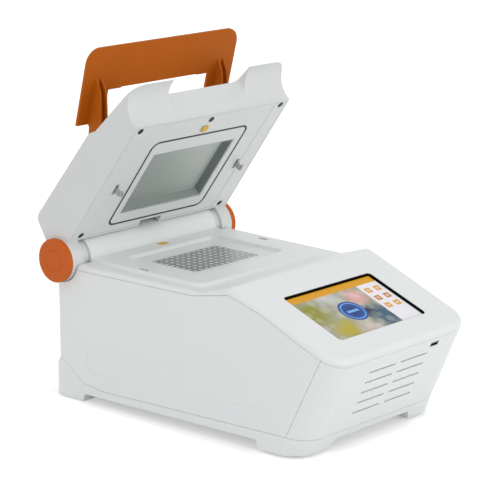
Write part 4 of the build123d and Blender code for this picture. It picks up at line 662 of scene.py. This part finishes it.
def window_liner():
    """Near-black wall round the inside of the screen's window, from the glass up to just below the bezel."""
    middle = glass_top + DOWNHILL * (WINDOW_MARGIN + WINDOW_LENGTH / 2) * MM
    rows = []
    for offset, height in ((-LINER_GAP, 0.02), (-LINER_GAP, WINDOW_DEPTH - 0.45), (-LINER_THICKNESS,
                           WINDOW_DEPTH - 0.45), (-LINER_THICKNESS, 0.02), (-LINER_GAP, 0.02)):
        x, y = rounded_ring(WINDOW_HALF, WINDOW_LENGTH / 2, WINDOW_RADIUS, offset)
        rows.append(middle + (x[:, None] * np.array((1.0, 0, 0)) + y[:, None] * DOWNHILL + height * GLASS_UP) * MM)
    return new_object("window_liner", grid_mesh("window_liner", np.stack(rows), closed_u=True), "housing",
                      liner_black)


liner_black = plastic("liner_black", colour(10, 10, 11), 0.5, 2400.0, 0.02, Specular_IOR_Level=0.1)
window_liner()
picture = screen_picture()
print("picture nodes", len(picture.data.materials[0].node_tree.nodes))

# %% [markdown]
# Two small plain patches of yellow film mark the deck behind the block and the lid's liner. Each
# is a rounded sheet 0.15 mm thick. Its outline is a superellipse, which is a circle whose powers
# are raised until it looks like a square with soft corners.

# %% Patches of film
PATCH_YELLOW = colour(226, 178, 28)
film = plastic("yellow_film", PATCH_YELLOW, 0.45, 2600.0, 0.05)
HINGE = Vector(next(j["pos_m"] for j in frame["joints"] if j["name"] == "lid_hinge"))
LID_FORWARD = np.array((0, -math.cos(OPEN_ANGLE), math.sin(OPEN_ANGLE)))
LID_DOWN = np.array((0, -math.sin(OPEN_ANGLE), -math.cos(OPEN_ANGLE)))


def film_patch(name, centre, along, across, normal, half_long, half_wide, body):
    """Dome-edged sheet: rings of a superellipse with power 5, at full size on the surface, then on top."""
    turn = np.linspace(0, 2 * np.pi, 48, endpoint=False)
    power = 2 / 5
    ex = np.sign(np.cos(turn)) * np.abs(np.cos(turn)) ** power
    ey = np.sign(np.sin(turn)) * np.abs(np.sin(turn)) ** power
    rings = ((1.0, 0.0), (1.0, 0.10), (0.97, 0.15), (0.5, 0.15), (0.001, 0.15))
    points = np.stack([centre + np.outer(ex * size * half_long, along) + np.outer(ey * size * half_wide, across)
                       + height * MM * normal for size, height in rings])
    mesh = grid_mesh(name, points, closed_u=True)
    return new_object(name, mesh, body, film)


def lid_point(x, s, t):
    """Place on the open lid: s forwards from the hinge, t down from the hinge line, in millimetres."""
    return np.array(HINGE) + np.array((x, 0, 0)) * MM + LID_FORWARD * s * MM + LID_DOWN * t * MM


lid_patch = film_patch("lid_film_patch", lid_point(-3.5, 185.0, -0.2), np.array((1.0, 0, 0)), LID_FORWARD, LID_DOWN,
                       5.0 * MM, 4.5 * MM, "lid")

# %% [markdown]
# The seal round the heated plate stands a little proud of the liner as a soft round bead. Its
# section is half an ellipse, carried round a rounded rectangle: at angle a the offset from the
# path is w cos a and the height is h sin a.

# %% Seal bead
SEAL_HALF = 77.8
SEAL_S = (42.2, 175.0)
SEAL_RADIUS = 10.0
SEAL_FACE = -1.4
BEAD_HALF_WIDTH = 1.35
BEAD_HEIGHT = 0.5


def seal_bead():
    """Half-elliptic bead round the plate frame on the open lid."""
    rows = []
    for angle in np.linspace(0, np.pi, 9):
        x, y = rounded_ring(SEAL_HALF, (SEAL_S[1] - SEAL_S[0]) / 2, SEAL_RADIUS,
                            BEAD_HALF_WIDTH * math.cos(angle))
        t = SEAL_FACE + 0.02 + BEAD_HEIGHT * math.sin(angle)
        start = lid_point(0.0, sum(SEAL_S) / 2, t)
        rows.append(start + (x[:, None] * np.array((1.0, 0, 0)) + y[:, None] * LID_FORWARD) * MM)
    rows.append(rows[0])
    return new_object("seal_bead", grid_mesh("seal_bead", np.stack(rows), closed_u=True), "lid",
                      seal_rubber)


seal_bead()
deck_z = 165.4 * MM
deck_patch = film_patch("deck_film_patch", np.array((3.2 * MM, 149.5 * MM, deck_z)), np.array((1.0, 0, 0)),
                        np.array((0, 1.0, 0)), np.array((0, 0, 1.0)), 6.5 * MM, 5.5 * MM, "housing")
print("patches at", lid_point(-3.5, 185.0, -0.2).round(4), deck_z)

# %% [markdown]
# The instrument stands on a pale floor in a white studio. The floor is part of the stage, not of
# the object. It is a wide plain disc whose own faint glow, seen only by the camera and by
# reflections, lifts it to white while the shadow under the housing stays. Close round the housing's
# footprint the glow is turned down, which paints a narrow shadow on the floor at the base.

# %% Floor and world
FLOOR_RADIUS = 6.0
LIT_FLOOR = 0.5
base_low, base_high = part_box("base_tray")
STANCE = ((base_high.x - base_low.x) / 2, (base_high.y - base_low.y) / 2, (base_high.y + base_low.y) / 2)
# Painted shadow: the floor's glow is cut to this level under the footprint and rises to full within this reach of
# it.
PAINTED_SHADOW_REACH = 0.016
PAINTED_SHADOW_GLOW = 0.7


def seen_directly(tree):
    """1 for rays that show the background: from the camera, by reflection or through glass."""
    path = add_node(tree, "ShaderNodeLightPath")
    rays = math_node(tree, "ADD", path.outputs["Is Camera Ray"], path.outputs["Is Glossy Ray"])
    return add_node(tree, "ShaderNodeMath", {0: rays, 1: path.outputs["Is Transmission Ray"]},
                    operation="ADD", use_clamp=True).outputs[0]


def studio_floor():
    """Disc of rings about the vertical axis, at bench level."""
    turn = np.linspace(0, 2 * np.pi, 64, endpoint=False)
    radius = np.linspace(0.01, FLOOR_RADIUS, 12)[:, None]
    points = np.stack((radius * np.cos(turn), radius * np.sin(turn), np.zeros((12, 64))), axis=-1)
    mesh = grid_mesh("studio_floor", points, closed_u=True)
    floor = bpy.data.objects.new("studio_floor", mesh)
    bpy.context.scene.collection.objects.link(floor)
    made = bpy.data.materials.new("studio_floor")
    made.use_nodes = True
    tree = made.node_tree
    shader = tree.nodes["Principled BSDF"]
    shader.inputs["Base Color"].default_value = (0.86, 0.86, 0.86, 1)
    shader.inputs["Roughness"].default_value = 0.9
    shader.inputs["Specular IOR Level"].default_value = 0.0
    place = add_node(tree, "ShaderNodeSeparateXYZ", {0: add_node(tree, "ShaderNodeTexCoord").outputs["Object"]})
    # The glow is turned down near the base tray's footprint, which paints a shadow on the floor.
    legs = []
    for axis, middle, half in ((0, 0.0, STANCE[0]), (1, STANCE[2], STANCE[1])):
        away = math_node(tree, "ABSOLUTE", math_node(tree, "SUBTRACT", place.outputs[axis], middle))
        beyond = math_node(tree, "MAXIMUM", math_node(tree, "SUBTRACT", away, half), 0.0)
        legs.append(math_node(tree, "MULTIPLY", beyond, beyond))
    distance = math_node(tree, "SQRT", math_node(tree, "ADD", *legs))
    painted_shadow = add_node(tree, "ShaderNodeMapRange", {"Value": distance, "From Min": 0.0, "From Max": PAINTED_SHADOW_REACH,
                                                "To Min": PAINTED_SHADOW_GLOW},
                    interpolation_type="SMOOTHSTEP").outputs["Result"]
    lit = math_node(tree, "MULTIPLY", seen_directly(tree), LIT_FLOOR)
    glow = add_node(tree, "ShaderNodeEmission",
                    {"Color": (1, 1, 1, 1), "Strength": math_node(tree, "MULTIPLY", lit, painted_shadow)})
    both = add_node(tree, "ShaderNodeAddShader", {0: shader.outputs[0], 1: glow.outputs[0]})
    tree.links.new(both.outputs[0], tree.nodes["Material Output"].inputs["Surface"])
    mesh.materials.append(made)
    return floor


AMBIENT = 0.76
world = bpy.data.worlds.new("studio")
bpy.context.scene.world = world
world.use_nodes = True
sky = world.node_tree
direct = seen_directly(sky)
level = math_node(sky, "MULTIPLY_ADD", direct, 1.0 - AMBIENT, AMBIENT)
sky.nodes["Background"].inputs["Color"].default_value = (1, 1, 1, 1)
sky.links.new(level, sky.nodes["Background"].inputs["Strength"])
studio_floor()
bpy.context.scene.view_settings.view_transform = "Standard"
print("ambient", AMBIENT)

# %% [markdown]
# Soft boxes give shape to the white surfaces. A wide one in front and to the right fills the
# opening under the lid, one above the front lights the deck and the bezel, and a narrow one
# behind on the left draws light along the edges. Large lamps close by give soft shadows.

# %% Lamps
def soft_box(name, place, target, width, height, power):
    """A rectangular area lamp that faces a target."""
    data = bpy.data.lights.new(name, "AREA")
    data.shape = "RECTANGLE"
    data.size, data.size_y, data.energy = width, height, power
    lamp = bpy.data.objects.new(name, data)
    bpy.context.scene.collection.objects.link(lamp)
    lamp.location = place
    lamp.rotation_euler = (Vector(target) - Vector(place)).to_track_quat("-Z", "Y").to_euler()
    return lamp


soft_box("front_box", (0.5, -2.0, 0.55), (0, 0.1, 0.2), 1.4, 0.8, 6.5)
soft_box("top_box", (-0.2, -0.9, 1.9), (0, 0.0, 0.15), 1.3, 1.3, 2.5)
soft_box("left_box", (-1.9, -0.6, 0.25), (0, 0.0, 0.05), 1.0, 0.4, 2.5)
